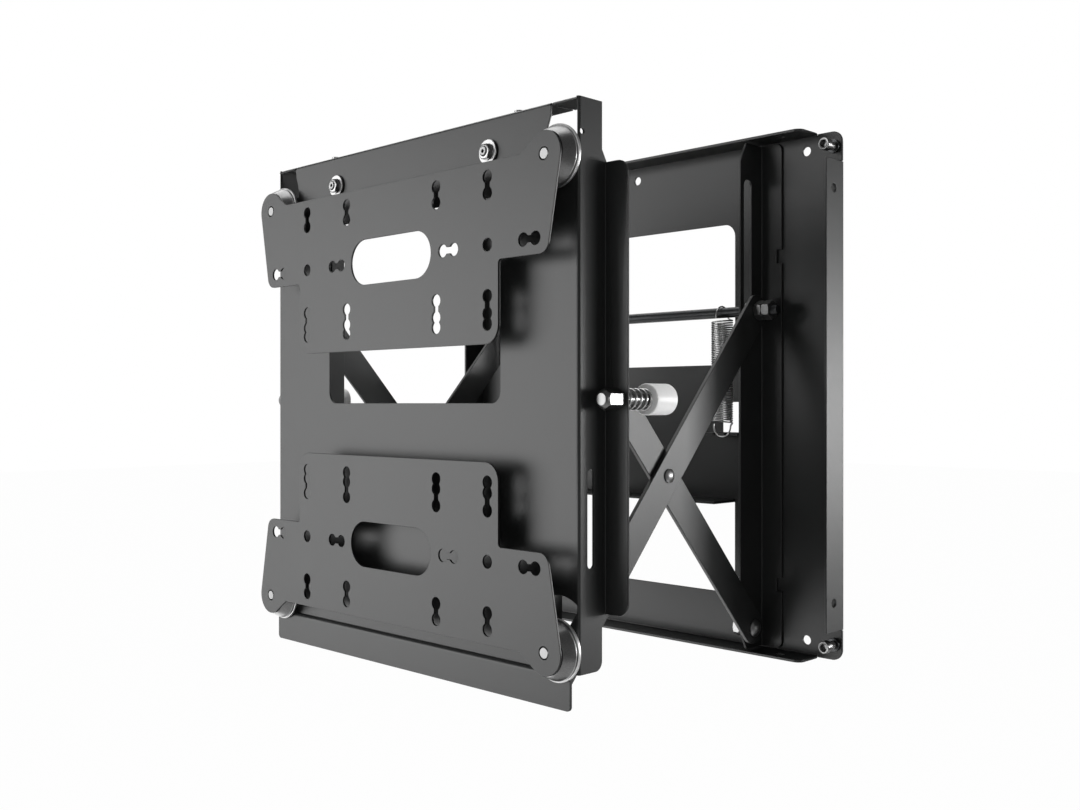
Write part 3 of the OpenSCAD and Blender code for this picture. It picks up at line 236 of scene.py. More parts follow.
nodeSlot = {part["node"]: part["material_slot"] for part in frame["record"]["subparts"]}
slotFinish = {"black_powder_coat": powderCoat, "zinc_plate": zincPlate, "turned_steel": turnedSteel,
              "spring_steel": plainMetal["drawnSpringWire"],
              "dark_steel": plainMetal["blackOxideSteel"], "white_nylon": whiteNylon}
print("finishes made:", len(slotFinish))


def finishPiece(bm, name, finish, standsFor, materials=None, sharpAngle=35):
    mesh = bpy.data.meshes.new(name)
    bm.to_mesh(mesh)
    bm.free()
    mesh.shade_smooth()
    mesh.set_sharp_from_angle(angle=math.radians(sharpAngle))
    for material in materials or [slotFinish[finish]]:
        mesh.materials.append(material)
    piece = bpy.data.objects.new(name, mesh)
    bpy.context.scene.collection.objects.link(piece)
    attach(piece, nodes[standsFor]["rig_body"])
    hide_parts(standsFor)
    return piece


# How the frame's shapes are softened: lengths in mm, angles in degrees.
soften = {"merge": 0.004, "flat": 0.6,  # vertices this near are merged, faces this level made one
          "corner": 40, "bendLength": 10,  # a sharper edge is rounded, only a longer one is a bend
          "reach": 2.7, "onFace": 0.05,  # a broad face goes this far in from its edge
          "edgeSegments": 2, "bendSegments": 3, "faceWeight": 90,
          "stray": 0.45, "boxSlack": 0.01,  # the most a round strays: a share of itself, past the box
          "sharpReach": 4, "tries": 4}  # edges this many edge rounds from a stray stay sharp


def isBroad(tree, loop):
    # True where, at two of three spots along this edge, its face reaches further in than the
    # thickness of a sheet.
    start, end = loop.vert.co, loop.link_loop_next.vert.co
    inward = loop.face.normal.cross(end - start).normalized() * soften["reach"] * mm
    spots = [tree.find_nearest(start.lerp(end, share) + inward) for share in (0.25, 0.5, 0.75)]
    return sum(s[2] == loop.face.index and s[3] < soften["onFace"] * mm for s in spots) >= 2


def softenedNode(nodeName, edge, bend=None):
    # The pressed, cut or turned shape as the frame has it. Its cut edges are broken by a small
    # round, and the bends of a sheet, where two broad faces meet, get their bending radius.
    widest = max(edge, bend or 0)
    bm = bmesh.new()
    bm.from_mesh(nodes[nodeName].data)
    bmesh.ops.remove_doubles(bm, verts=bm.verts, dist=soften["merge"] * mm)
    bmesh.ops.dissolve_limit(bm, angle_limit=math.radians(soften["flat"]), verts=bm.verts,
                             edges=bm.edges)
    bm.faces.ensure_lookup_table()
    bm.faces.index_update()
    tree = BVHTree.FromBMesh(bm)
    weight = bm.edges.layers.float.new("bevel_weight_edge")
    for e in bm.edges:
        if len(e.link_faces) == 2 and e.calc_face_angle() > math.radians(soften["corner"]):
            isBend = (bend and e.calc_length() > soften["bendLength"] * mm and
                      all(isBroad(tree, loop) for loop in e.link_loops))
            e[weight] = (bend if isBend else edge) / widest
    piece = finishPiece(bm, nodeName + "_finished", nodeSlot[nodeName], nodeName, sharpAngle=180)
    rounds = piece.modifiers.new("rounds", "BEVEL")
    rounds.limit_method = "WEIGHT"
    rounds.width = widest * mm
    rounds.segments = soften["bendSegments"] if bend else soften["edgeSegments"]
    rounds.profile = 0.5
    rounds.use_clamp_overlap = False
    even = piece.modifiers.new("flatFacesStayFlat", "WEIGHTED_NORMAL")
    even.weight = soften["faceWeight"]
    # Where a round would stick out of the sheet, as at a narrow slit, the edges stay sharp.
    weights = piece.data.attributes["bevel_weight_edge"].data
    low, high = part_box(nodeName)
    slack = soften["boxSlack"] * mm
    for attempt in range(soften["tries"]):
        bpy.context.view_layer.update()
        rounded = piece.evaluated_get(bpy.context.evaluated_depsgraph_get()).data
        strays = [v.co.copy() for v in rounded.vertices
                  if tree.find_nearest(v.co)[3] > soften["stray"] * widest * mm or
                  any(v.co[i] < low[i] - slack or v.co[i] > high[i] + slack for i in range(3))]
        if not strays:
            break
        for e in piece.data.edges:
            ends = [piece.data.vertices[i].co for i in e.vertices]
            if any((end - stray).length < soften["sharpReach"] * edge * mm
                   for end in ends for stray in strays):
                weights[e.index].value = 0
        piece.data.update()
    return piece


def axisPlace(x, y, z, towards):
    # Where a turned piece stands, in mm, and which way its local Z points.
    turn = Vector((0, 0, 1)).rotation_difference(Vector(towards)).to_matrix().to_4x4()
    return Matrix.Translation(Vector((x, y, z)) * mm) @ turn


def addTurned(bm, rings, segments, place):
    # Rings run along local Z, each (radius, height) in mm or a function of the angle that gives both.
    poleRadius, mergeDistance = 0.0001, 0.001
    before = set(bm.verts)
    current = bmesh.ops.create_circle(bm, cap_ends=False, segments=segments, radius=1.0)["verts"]
    firstLoop = loop = list({e for v in current for e in v.link_edges})
    reach = []
    for number, ring in enumerate(rings):
        if number:
            grown = bmesh.ops.extrude_edge_only(bm, edges=loop)["geom"]
            current = [g for g in grown if isinstance(g, bmesh.types.BMVert)]
            loop = [g for g in grown if isinstance(g, bmesh.types.BMEdge) and
                    all(v in current for v in g.verts)]
        for v in current:
            angle = math.atan2(v.co.y, v.co.x)
            radius, height = ring(angle) if callable(ring) else ring
            radius = max(radius, poleRadius)
            v.co = (radius * math.cos(angle), radius * math.sin(angle), height)
        reach.append(max(math.hypot(v.co.x, v.co.y) for v in current))
    if reach[0] > mergeDistance and reach[-1] > mergeDistance:
        bmesh.ops.bridge_loops(bm, edges=firstLoop + loop)
    fresh = [v for v in bm.verts if v not in before]
    bmesh.ops.remove_doubles(bm, verts=fresh, dist=mergeDistance)
    fresh = [v for v in bm.verts if v not in before]
    bmesh.ops.recalc_face_normals(bm, faces=list({f for v in fresh for f in v.link_faces}))
    bmesh.ops.transform(bm, matrix=place @ Matrix.Scale(mm, 4), verts=fresh)


def hexRadius(angle, acrossFlats):
    # From the middle of a hexagon to its side at this angle.
    return acrossFlats / 2 / math.cos(angle % math.radians(60) - math.radians(30))


nutShape = {"faceShare": 0.96, "cone": 30, "chamfer": 0.5}
boreFit = 0.03  # the gap in mm between a bore and what passes through it


def nutRings(acrossFlats, height, bore, low=0.0):
    # A hexagon whose corners are cut back by a cone at both faces, with a chamfered bore.
    face, chamfer = acrossFlats / 2 * nutShape["faceShare"], nutShape["chamfer"]

    def cutBack(angle, atTop):
        radius = hexRadius(angle, acrossFlats)
        drop = (radius - face) * math.tan(math.radians(nutShape["cone"]))
        return radius, low + (height - drop if atTop else drop)
    return [(bore, low + chamfer), (bore + chamfer, low), (face, low), lambda a: cutBack(a, False),
            lambda a: cutBack(a, True), (face, low + height), (bore + chamfer, low + height),
            (bore, low + height - chamfer)]


def washerRings(radius, bore, low, high, edge=0.2):
    # A plain ring with its outer edges chamfered.
    return [(bore, low), (radius - edge, low), (radius, low + edge), (radius, high - edge),
            (radius - edge, high), (bore, high)]


def threadRings(radius, low, high, pitch, depth, stepsPerTurn=4):
    # A helical V groove, cut as a wave that climbs with the angle.
    count = max(2, int(round((high - low) / pitch * stepsPerTurn)))

    def cut(angle, height):
        wave = abs(2 * ((height / pitch - angle / (2 * math.pi)) % 1) - 1)
        return radius - depth * wave, height
    return [lambda a, h=low + (high - low) * i / count: cut(a, h) for i in range(count + 1)]


def domeRings(headRadius, base, rise, edge, steps=7):
    # The cap of a ball on a short straight edge.
    dome = rise - edge
    ball = (headRadius ** 2 + dome ** 2) / 2 / dome
    start = math.acos(headRadius / ball)
    turns = [start + (math.pi / 2 - start) * i / steps for i in range(steps + 1)]
    return [(ball * math.cos(t), base + rise - ball + ball * math.sin(t)) for t in turns]


def boxMm(nodeName):
    low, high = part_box(nodeName)
    return low / mm, high / mm


def middleMm(nodeName):
    low, high = boxMm(nodeName)
    return (low + high) / 2


# The pressed sheets keep the shape that the frame has. Each has the round of its cut edges in mm,
# and the one of its bends where that doesn't come with its shape.
sheetEdge = {"wall_plate": (0.35, None), "slide_bracket_left": (0.35, 1.6),
             "slide_bracket_right": (0.35, 1.6), "inner_arm_left": (0.4, None),
             "inner_arm_right": (0.4, None), "outer_arm_left": (0.4, None),
             "outer_arm_right": (0.4, None), "carriage_bracket_left": (0.3, 1.2),
             "carriage_bracket_right": (0.3, 1.2), "carriage_top_bar": (0.3, 1.2),
             "carriage_bottom_bar": (0.3, 1.2), "front_frame": (0.3, None), "bottom_lip": (0.35, 1.2),
             "screen_plate_top": (0.3, None), "screen_plate_bottom": (0.3, None)}
for nodeName, (edge, bend) in sheetEdge.items():
    softenedNode(nodeName, edge, bend)
print("pressed sheets finished:", len(sheetEdge))

# Small hardware that keeps its shape and only loses its sharp edges.
smallEdge = {"slide_pins": 0.25, "slide_pin_nuts": 0.3, "shaft_bushes": 0.2, "threaded_inserts": 0.3,
             "height_nuts": 0.3, "lip_screws": 0.5, "height_screw_left": 0.3, "height_screw_right": 0.3}
for nodeName, edge in smallEdge.items():
    softenedNode(nodeName, edge)
print("small hardware finished:", len(smallEdge))

# Pivot bolts have domed heads outside and a nut and washer inside.
pivotBolt = {"head": 13.0, "rise": 4.0, "edge": 1.2, "rim": 0.2, "radius": 4.0, "chamfer": 0.6,
             "pitch": 1.25, "thread": 0.4, "threadLength": 9, "shankFrom": 9.3, "segments": 32}
pivotNut = {"acrossFlats": 13.0, "height": 6.0, "washer": 1.5, "washerRadius": 7.5, "tail": 2.0,
            "segments": 36}
pivotSpacer = {"radius": 7.0, "bracketSheet": 2}  # the rear ones stand on the slide bracket's sheet
for which in ("rear", "front"):
    centre = middleMm(which + "_pivot_bolts")
    headFace = boxMm(which + "_pivot_bolts")[1].x - pivotBolt["rise"]
    nutTop = boxMm(which + "_pivot_nuts")[1].x
    washerLow = nutTop - pivotNut["washer"]
    tail = washerLow - pivotNut["height"] - pivotNut["tail"]
    r, headRadius, rim = pivotBolt["radius"], pivotBolt["head"] / 2, pivotBolt["rim"]
    threadLow = tail + pivotBolt["chamfer"]
    boltRings = [(0, tail), (r - pivotBolt["chamfer"], tail), (r, threadLow)]
    boltRings += threadRings(r, threadLow, tail + pivotBolt["threadLength"], pivotBolt["pitch"],
                             pivotBolt["thread"])
    boltRings += [(r, tail + pivotBolt["shankFrom"]), (r, headFace), (headRadius - rim, headFace),
                  (headRadius, headFace + rim)]
    boltRings += domeRings(headRadius, headFace, pivotBolt["rise"], pivotBolt["edge"])
    spacerLow = {"rear": boxMm("slide_bracket_right")[0].x + pivotSpacer["bracketSheet"],
                 "front": boxMm("carriage_bracket_right")[1].x}[which]
    spacerHigh = boxMm(which + "_spacers")[1].x
    bolts, nuts, spacers = bmesh.new(), bmesh.new(), bmesh.new()
    for side in (-1, 1):
        place = axisPlace(0, centre.y, centre.z, (side, 0, 0))
        addTurned(bolts, boltRings, pivotBolt["segments"], place)
        addTurned(nuts, washerRings(pivotNut["washerRadius"], r + boreFit, washerLow, nutTop),
                  pivotNut["segments"], place)
        addTurned(nuts, nutRings(pivotNut["acrossFlats"], pivotNut["height"], r + boreFit,
                                 washerLow - pivotNut["height"]), pivotNut["segments"], place)
        addTurned(spacers, washerRings(pivotSpacer["radius"], r + boreFit, spacerLow, spacerHigh),
                  pivotNut["segments"], place)
    finishPiece(bolts, which + "_pivot_bolts_turned", "zinc_plate", which + "_pivot_bolts")
    finishPiece(nuts, which + "_pivot_nuts_chamfered", "zinc_plate", which + "_pivot_nuts")
    finishPiece(spacers, which + "_spacers_turned", "zinc_plate", which + "_spacers")

# The rivets at the crossing of the arms have a dome outside and a flat head inside.
rivet = {"head": 10.0, "rise": 2.2, "edge": 0.6, "rim": 0.1, "shank": 4.0, "back": 1.5,
         "backRim": 0.4, "segments": 32}
centre = middleMm("centre_rivets")
headFace = boxMm("centre_rivets")[1].x - rivet["rise"]
backFace = boxMm("inner_arm_right")[0].x
r, backLow = rivet["head"] / 2, backFace - rivet["back"]
rings = [(0, backLow), (r - rivet["backRim"], backLow), (r, backLow + rivet["backRim"]),
         (r, backFace), (rivet["shank"], backFace), (rivet["shank"], headFace),
         (r - rivet["rim"], headFace), (r, headFace + rivet["rim"])]
rings += domeRings(r, headFace, rivet["rise"], rivet["edge"])
rivets = bmesh.new()
for side in (-1, 1):
    addTurned(rivets, rings, rivet["segments"], axisPlace(0, centre.y, centre.z, (side, 0, 0)))
finishPiece(rivets, "centre_rivets_turned", "zinc_plate", "centre_rivets")
print("pivots made")

# The cross shaft is threaded at both ends for a nut and a locknut.
shaft = {"radius": 4.0, "chamfer": 0.8, "chamferLength": 0.7, "threadFrom": 136.0, "runout": 0.3,
         "pitch": 1.25, "thread": 0.45, "segments": 32}
centre = middleMm("cross_shaft")
end = boxMm("cross_shaft")[1].x
r, tip, threadFrom = shaft["radius"], shaft["radius"] - shaft["chamfer"], shaft["threadFrom"]
rings = [(0, -end), (tip, -end)]
rings += threadRings(r, -end + shaft["chamferLength"], -threadFrom, shaft["pitch"], shaft["thread"])
rings += [(r, shaft["runout"] - threadFrom), (r, threadFrom - shaft["runout"])]
rings += threadRings(r, threadFrom, end - shaft["chamferLength"], shaft["pitch"], shaft["thread"])
rings += [(tip, end), (0, end)]
bm = bmesh.new()
addTurned(bm, rings, shaft["segments"], axisPlace(0, centre.y, centre.z, (1, 0, 0)))
finishPiece(bm, "cross_shaft_threaded", "dark_steel", "cross_shaft")
shaftNut = {"acrossFlats": 13.0, "height": 6.5, "segments": 36}
for nodeName in ("shaft_nuts", "shaft_locknuts"):
    low = boxMm(nodeName)[1].x - shaftNut["height"]
    bm = bmesh.new()
    for side in (-1, 1):
        addTurned(bm, nutRings(shaftNut["acrossFlats"], shaftNut["height"], r + boreFit, low),
                  shaftNut["segments"], axisPlace(0, centre.y, centre.z, (side, 0, 0)))
    # The nuts' zinc plate is drawn in a darker grey, as painted dark reflection.
    finishPiece(bm, nodeName + "_chamfered", "dark_steel", nodeName,
                materials=[plainMetal["zincNutWithPaintedDarkReflection"]])
print("cross shaft made")

# Clamps: a stud with a socket in its end, a flanged nut and a thick washer on the frame's front.
clamp = {"stud": 3.0, "proud": 0.8, "pitch": 1.0, "thread": 0.35, "socket": 2.5, "socketDepth": 2.0,
         "washer": 8.2, "washerT": 1.5, "washerEdge": 0.35, "washerSegments": 48,
         "acrossFlats": 9.4, "nut": 3.2, "faceShare": 0.94, "cone": 32, "collar": 5.5, "collarT": 0.9,
         "chamfer": 0.5, "segments": 36}
low, high = boxMm("clamp_studs")
studX, studZ = high.x - clamp["stud"], (low.z + high.z) / 2
washerLow = boxMm("clamp_washers")[0].y
nutLow, collarLow = washerLow - clamp["nut"], washerLow - clamp["collarT"]
studLow = nutLow - clamp["proud"]
socketFoot = studLow + clamp["socketDepth"]
r, chamfer, face = clamp["stud"], clamp["chamfer"], clamp["acrossFlats"] / 2 * clamp["faceShare"]


def clampNutEdge(angle, atCollar):
    radius = hexRadius(angle, clamp["acrossFlats"])
    drop = (radius - face) * math.tan(math.radians(clamp["cone"]))
    return radius, (collarLow if atCollar else nutLow + drop)


studRings = [(0, socketFoot), lambda a: (hexRadius(a, clamp["socket"]), socketFoot),
             lambda a: (hexRadius(a, clamp["socket"]), studLow), (r - chamfer, studLow)]
studRings += threadRings(r, studLow + chamfer, high.y - chamfer, clamp["pitch"], clamp["thread"])
studRings += [(r - chamfer, high.y), (0, high.y)]
clampNutRings = [(r + boreFit, nutLow + chamfer), (r + chamfer, nutLow), (face, nutLow),
                 lambda a: clampNutEdge(a, False), lambda a: clampNutEdge(a, True),
                 (clamp["collar"], collarLow), (clamp["collar"], washerLow), (r + boreFit, washerLow)]
clampWasherRings = washerRings(clamp["washer"], r + boreFit, washerLow, washerLow + clamp["washerT"],
                               clamp["washerEdge"])
studs, washers, nuts = bmesh.new(), bmesh.new(), bmesh.new()
for side in (-1, 1):
    place = axisPlace(side * studX, 0, studZ, (0, 1, 0))
    addTurned(studs, studRings, clamp["segments"], place)
    addTurned(washers, clampWasherRings, clamp["washerSegments"], place)
    addTurned(nuts, clampNutRings, clamp["segments"], place)
finishPiece(studs, "clamp_studs_threaded", "turned_steel", "clamp_studs")
finishPiece(washers, "clamp_washers_turned", "zinc_plate", "clamp_washers")
finishPiece(nuts, "clamp_nuts_flanged", "zinc_plate", "clamp_nuts")
print("clamps made")

# Levelling screws have a toothed head with a hex socket. The crown and the foot of the
# head are pairs: how far in from its side, and how far from its end.
leveller = {"head": 4.5, "headHeight": 6.5, "crown": [(0.5, 0), (0.15, 0.35)],
            "foot": [(0.1, 0.4), (0.3, 0)], "knurl": 0.12, "teeth": 36, "toothTop": 0.8,
            "toothFoot": 0.9, "socket": 5.0, "socketDepth": 3.5, "mouth": 3.2, "mouthDepth": 0.3,
            "shank": 3.0, "pitch": 1.0, "thread": 0.35, "runout": 0.2, "chamfer": 0.5,
            "chamferLength": 0.4, "segments": 72}
for nodeName in [n for n in nodes if n.startswith("levelling_screw_")]:
    low, high = boxMm(nodeName)
    centre = (low + high) / 2
    tall, r, foot = high.y - low.y, leveller["head"], leveller["headHeight"]

    def toothed(angle, height):
        tooth = abs((angle * leveller["teeth"] / (2 * math.pi)) % 1 - 0.5) * 2
        return r - leveller["knurl"] * tooth, height
    rings = [(0, leveller["socketDepth"]),
             lambda a: (hexRadius(a, leveller["socket"]), leveller["socketDepth"]),
             lambda a: (hexRadius(a, leveller["socket"]), leveller["mouthDepth"]),
             (leveller["mouth"], 0)]
    rings += [(r - inset, drop) for inset, drop in leveller["crown"]]
    rings += [lambda a: toothed(a, leveller["toothTop"]),
              lambda a: toothed(a, foot - leveller["toothFoot"])]
    rings += [(r - inset, foot - drop) for inset, drop in leveller["foot"]]
    rings += [(leveller["shank"], foot)]
    rings += threadRings(leveller["shank"], foot + leveller["runout"],
                         tall - leveller["chamferLength"], leveller["pitch"], leveller["thread"])
    rings += [(leveller["shank"] - leveller["chamfer"], tall), (0, tall)]
    bm = bmesh.new()
    addTurned(bm, rings, leveller["segments"], axisPlace(centre.x, low.y, centre.z, (0, 1, 0)))
    finishPiece(bm, nodeName + "_socketed", "turned_steel", nodeName)

# The collar of the press nut that each levelling screw turns in. The nut is zinc plated, but is drawn
# in the dark oxide steel as painted shadow round the screw's shank.
pressNut = {"radius": 5.0, "bore": 3.06, "height": 2.2, "edge": 0.3, "segments": 36}
low, high = boxMm("press_nuts")
nuts = bmesh.new()
for x in (low.x + pressNut["radius"], high.x - pressNut["radius"]):
    for z in (low.z + pressNut["radius"], high.z - pressNut["radius"]):
        addTurned(nuts, washerRings(pressNut["radius"], pressNut["bore"], 0, pressNut["height"],
                                    pressNut["edge"]),
                  pressNut["segments"], axisPlace(x, low.y, z, (0, 1, 0)))
finishPiece(nuts, "press_nuts_in_painted_shadow", "dark_steel", "press_nuts")
print("levelling screws made")

# Adjuster wheels: a knurled barrel that widens to a bright bead, a groove and a smooth rim.
# The rim's edges are pairs: how far in from its side, and how far from its face.
wheel = {"front": 14.4, "back": 18.3, "bulge": 0.25, "length": 8.7, "frontEdge": 0.6, "bead": 0.45,
         "beadStand": 0.2, "beadRise": 0.1, "groove": 0.8, "grooveDepth": 1.3, "rim": 2.0,
         "rimEdge": [(0.4, 0), (0.1, 0.12), (0, 0.4)], "bore": 4.03, "knurl": 0.09, "rows": 11,
         "teeth": 72, "slack": 0.01}
spindle = {"radius": 4.0, "chamfer": 0.8, "smooth": 12.0, "runout": 0.3, "pitch": 1.25, "thread": 0.4,
           "endChamfer": 0.7, "endLength": 0.6, "segments": 36}
for corner in ("top_left", "top_right", "bottom_left", "bottom_right"):
    low, high = boxMm("adjuster_wheel_" + corner)
    centre = (low + high) / 2
    rimRadius = (high.z - low.z) / 2
    span = wheel["length"] - wheel["groove"] - wheel["bead"]

    def knurled(angle, row):
        share = row / wheel["rows"]
        swell = share * (1 + wheel["bulge"] - wheel["bulge"] * share)
        radius = wheel["front"] + (wheel["back"] - wheel["front"]) * swell
        slot = round(angle * wheel["teeth"] / math.pi)
        return radius - (wheel["knurl"] if (slot + row) % 2 else 0), span * share
    rings = [(wheel["bore"], 0), (wheel["front"] - wheel["frontEdge"], 0)]
    rings += [lambda a, row=row: knurled(a, row) for row in range(wheel["rows"] + 1)]
    beadRadius, beadTop = wheel["back"] + wheel["beadStand"], span + wheel["bead"]
    grooveRadius = wheel["back"] - wheel["grooveDepth"]
    top = wheel["length"] + wheel["rim"]
    rings += [(beadRadius, span + wheel["beadRise"]), (beadRadius, beadTop),
              (grooveRadius, beadTop), (grooveRadius, wheel["length"])]
    rings += [(rimRadius - inset, wheel["length"] + rise) for inset, rise in wheel["rimEdge"]]
    rings += [(rimRadius - inset, top - rise) for inset, rise in reversed(wheel["rimEdge"])]
    rings += [(wheel["bore"], top)]
    bm = bmesh.new()
    addTurned(bm, rings, wheel["teeth"] * 2, axisPlace(centre.x, low.y, centre.z, (0, 1, 0)))
    for face in bm.faces:
        middle = face.calc_center_median() / mm - centre
        height = middle.y + centre.y - low.y
        onBead = (span + wheel["slack"] < height < beadTop - wheel["slack"] and
                  math.hypot(middle.x, middle.z) > wheel["back"])
        if height > wheel["length"] - wheel["slack"] or onBead:
            face.material_index = 1
    finishPiece(bm, "adjuster_wheel_" + corner + "_knurled", "turned_steel", "adjuster_wheel_" + corner,
                materials=[knurledSteel, plainMetal["burnishedSteel"]])
    low, high = boxMm("spindle_" + corner)
    tall, r = high.y - low.y, spindle["radius"]
    rings = [(0, 0), (r - spindle["chamfer"], 0), (r, spindle["chamfer"]), (r, spindle["smooth"])]
    rings += threadRings(r, spindle["smooth"] + spindle["runout"], tall - spindle["endLength"],
                         spindle["pitch"], spindle["thread"])
    rings += [(r - spindle["endChamfer"], tall), (0, tall)]
    bm = bmesh.new()
    addTurned(bm, rings, spindle["segments"], axisPlace(centre.x, low.y, centre.z, (0, 1, 0)))
    finishPiece(bm, "spindle_" + corner + "_threaded", "turned_steel", "spindle_" + corner)
print("adjusters made")

# Nylon buffers: a short rod with rounded ends, bored for the hex rod's shank.
nylon = {"round": 0.9, "roundSteps": 4, "bore": 4.0, "boreDepth": 10.3, "mouth": 0.3, "segments": 64}
for side in ("left", "right"):
    low, high = boxMm("nylon_buffer_" + side)
    centre = (low + high) / 2
    r, tall = (high.x - low.x) / 2, high.y - low.y
    steps = nylon["roundSteps"]
    turns = [math.radians(90 * i / steps) for i in range(steps + 1)]
    lead = [(r - nylon["round"] * (1 - math.sin(t)), nylon["round"] * (1 - math.cos(t))) for t in turns]
    rings = [(0, nylon["boreDepth"]), (nylon["bore"], nylon["boreDepth"]),
             (nylon["bore"], nylon["mouth"]), (nylon["bore"] + nylon["mouth"], 0)] + lead
    rings += [(q[0], tall - q[1]) for q in reversed(lead)] + [(0, tall)]
    bm = bmesh.new()
    addTurned(bm, rings, nylon["segments"], axisPlace(centre.x, low.y, centre.z, (0, 1, 0)))
    finishPiece(bm, "nylon_buffer_" + side + "_turned", "white_nylon", "nylon_buffer_" + side)
print("buffers made")


def wirePiece(name, points, radius, body, standsFor, sharpAngle=50):
    # A round wire along its points, made a mesh at once so that its object can stay at the origin.
    curve = bpy.data.curves.new(name, "CURVE")
    curve.dimensions = "3D"
    curve.bevel_depth = radius * mm
    curve.bevel_resolution = 2
    curve.use_fill_caps = True
    line = curve.splines.new("POLY")
    line.points.add(len(points) - 1)
    for point, spot in zip(line.points, points):
        point.co = (spot[0] * mm, spot[1] * mm, spot[2] * mm, 1)
    bent = bpy.data.objects.new(name + "Curve", curve)
    bpy.context.scene.collection.objects.link(bent)
    bpy.context.view_layer.update()
    mesh = bpy.data.meshes.new_from_object(
        bent.evaluated_get(bpy.context.evaluated_depsgraph_get()))
    bpy.data.objects.remove(bent)
    mesh.name = name
    mesh.materials.clear()
    mesh.materials.append(plainMetal["drawnSpringWire"])
    mesh.shade_smooth()
    mesh.set_sharp_from_angle(angle=math.radians(sharpAngle))
    piece = bpy.data.objects.new(name, mesh)
    bpy.context.scene.collection.objects.link(piece)
    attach(piece, body)
    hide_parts(standsFor)
    return piece


def coilPoint(r, degrees, z):
    return (r * math.cos(math.radians(degrees)), r * math.sin(math.radians(degrees)), z)


def hookPoints(r, coilEnd, loopCentre, steps=10, backSteps=4, endGap=1.5):
    # Lifts off the last curl in a quarter turn, goes over in a half loop and comes back to the coil.
    turns = [math.radians(90 * i / steps) for i in range(1, 2 * steps + 1)]
    lift = [coilPoint(r, 90 * math.sin(t), coilEnd + (loopCentre - coilEnd) * (1 - math.cos(t)))
            for t in turns[:steps]]
    over = [(0, r * math.cos(t), loopCentre + r * math.sin(t)) for t in turns]
    back = [(0, -r, loopCentre + (coilEnd + endGap - loopCentre) * i / backSteps)
            for i in range(1, backSteps + 1)]
    return lift + over + back


# Each extension spring is wound from two wires that lie between each other, one hooked to the
# crossbar and one to the cross shaft, so that it can draw out as the shaft climbs.
extension = {"outer": 17.0, "wire": 1.3, "curls": 22, "stepsPerCurl": 20, "belowShaft": 6.2,
             "shaftRadius": 4.0, "gap": 0.3}
r = extension["outer"] / 2 - extension["wire"] / 2
shaftCentre = middleMm("cross_shaft")
for side in ("left", "right"):
    low, high = boxMm("extension_spring_" + side)
    x = (low.x + high.x) / 2
    coilTop = shaftCentre.z - extension["belowShaft"]
    topLoop = shaftCentre.z + extension["shaftRadius"] + extension["gap"] + extension["wire"] / 2 - r
    lowLoop = low.z + extension["wire"] / 2 + r
    coilLow = lowLoop + extension["belowShaft"] + topLoop - shaftCentre.z
    pitch = (coilTop - coilLow) / (extension["curls"] + 0.25)  # the wires stand a quarter turn apart
    steps = extension["stepsPerCurl"]
    count = extension["curls"] * steps
    upper = [coilPoint(r, -360 * i / steps, coilTop - pitch * i / steps)
             for i in range(count, -1, -1)]
    upper += hookPoints(r, coilTop, topLoop)
    # The lower wire is the same turned over end for end and a quarter turn round.
    lower = [(-p[1], p[0], p[2]) for p in
             [(q[0], -q[1], -q[2]) for q in reversed(hookPoints(r, -coilLow, -lowLoop))]]
    lower += [coilPoint(r, 90 + 360 * i / steps, coilLow + pitch * i / steps)
              for i in range(count + 1)]
    for part, points, body in (("lower", lower, "wall"), ("upper", upper, "shaft")):
        placed = [(x + q[0], shaftCentre.y + q[1], q[2]) for q in points]
        wirePiece("extension_spring_" + side + "_" + part, placed, extension["wire"] / 2, body,
                  "extension_spring_" + side)

# Each buffer rod is a hexagon bar with a blunt cone at its front, turned down to a round shank.
rod = {"acrossFlats": 11.5, "hexLength": 15.5, "noseRise": 1.8, "noseInset": 0.1, "noseLift": 0.06,
       "noseEdge": 0.15, "edge": 0.35, "shank": 4.0, "chamfer": 0.4, "segments": 48}
for side in ("left", "right"):
    low, high = boxMm("buffer_rod_" + side)
    centre = (low + high) / 2
    flat, tip, tall = rod["acrossFlats"] / 2, rod["acrossFlats"] / 3, high.y - low.y
    rise = rod["noseRise"] / (flat - tip)

    def hexEdge(angle, part):
        # Turned a twelfth of a turn, so that two flats stand upright.
        radius = hexRadius(angle + math.radians(30), rod["acrossFlats"])
        heights = {"cone": (radius - tip) * rise, "foot": rod["hexLength"] - rod["edge"]}
        return radius, heights[part]
    rings = [(0, 0), (tip - rod["edge"], 0), (tip - rod["noseInset"], rod["noseLift"]),
             (tip + rod["noseEdge"], rod["noseEdge"] * rise),
             lambda a: hexEdge(a, "cone"), lambda a: hexEdge(a, "foot"),
             (flat - rod["edge"], rod["hexLength"]), (rod["shank"], rod["hexLength"]),
             (rod["shank"], tall - rod["chamfer"]), (rod["shank"] - rod["chamfer"], tall), (0, tall)]
    bm = bmesh.new()
    addTurned(bm, rings, rod["segments"], axisPlace(centre.x, low.y, centre.z, (0, 1, 0)))
    finishPiece(bm, "buffer_rod_" + side + "_turned", nodeSlot["buffer_rod_" + side],
                "buffer_rod_" + side)
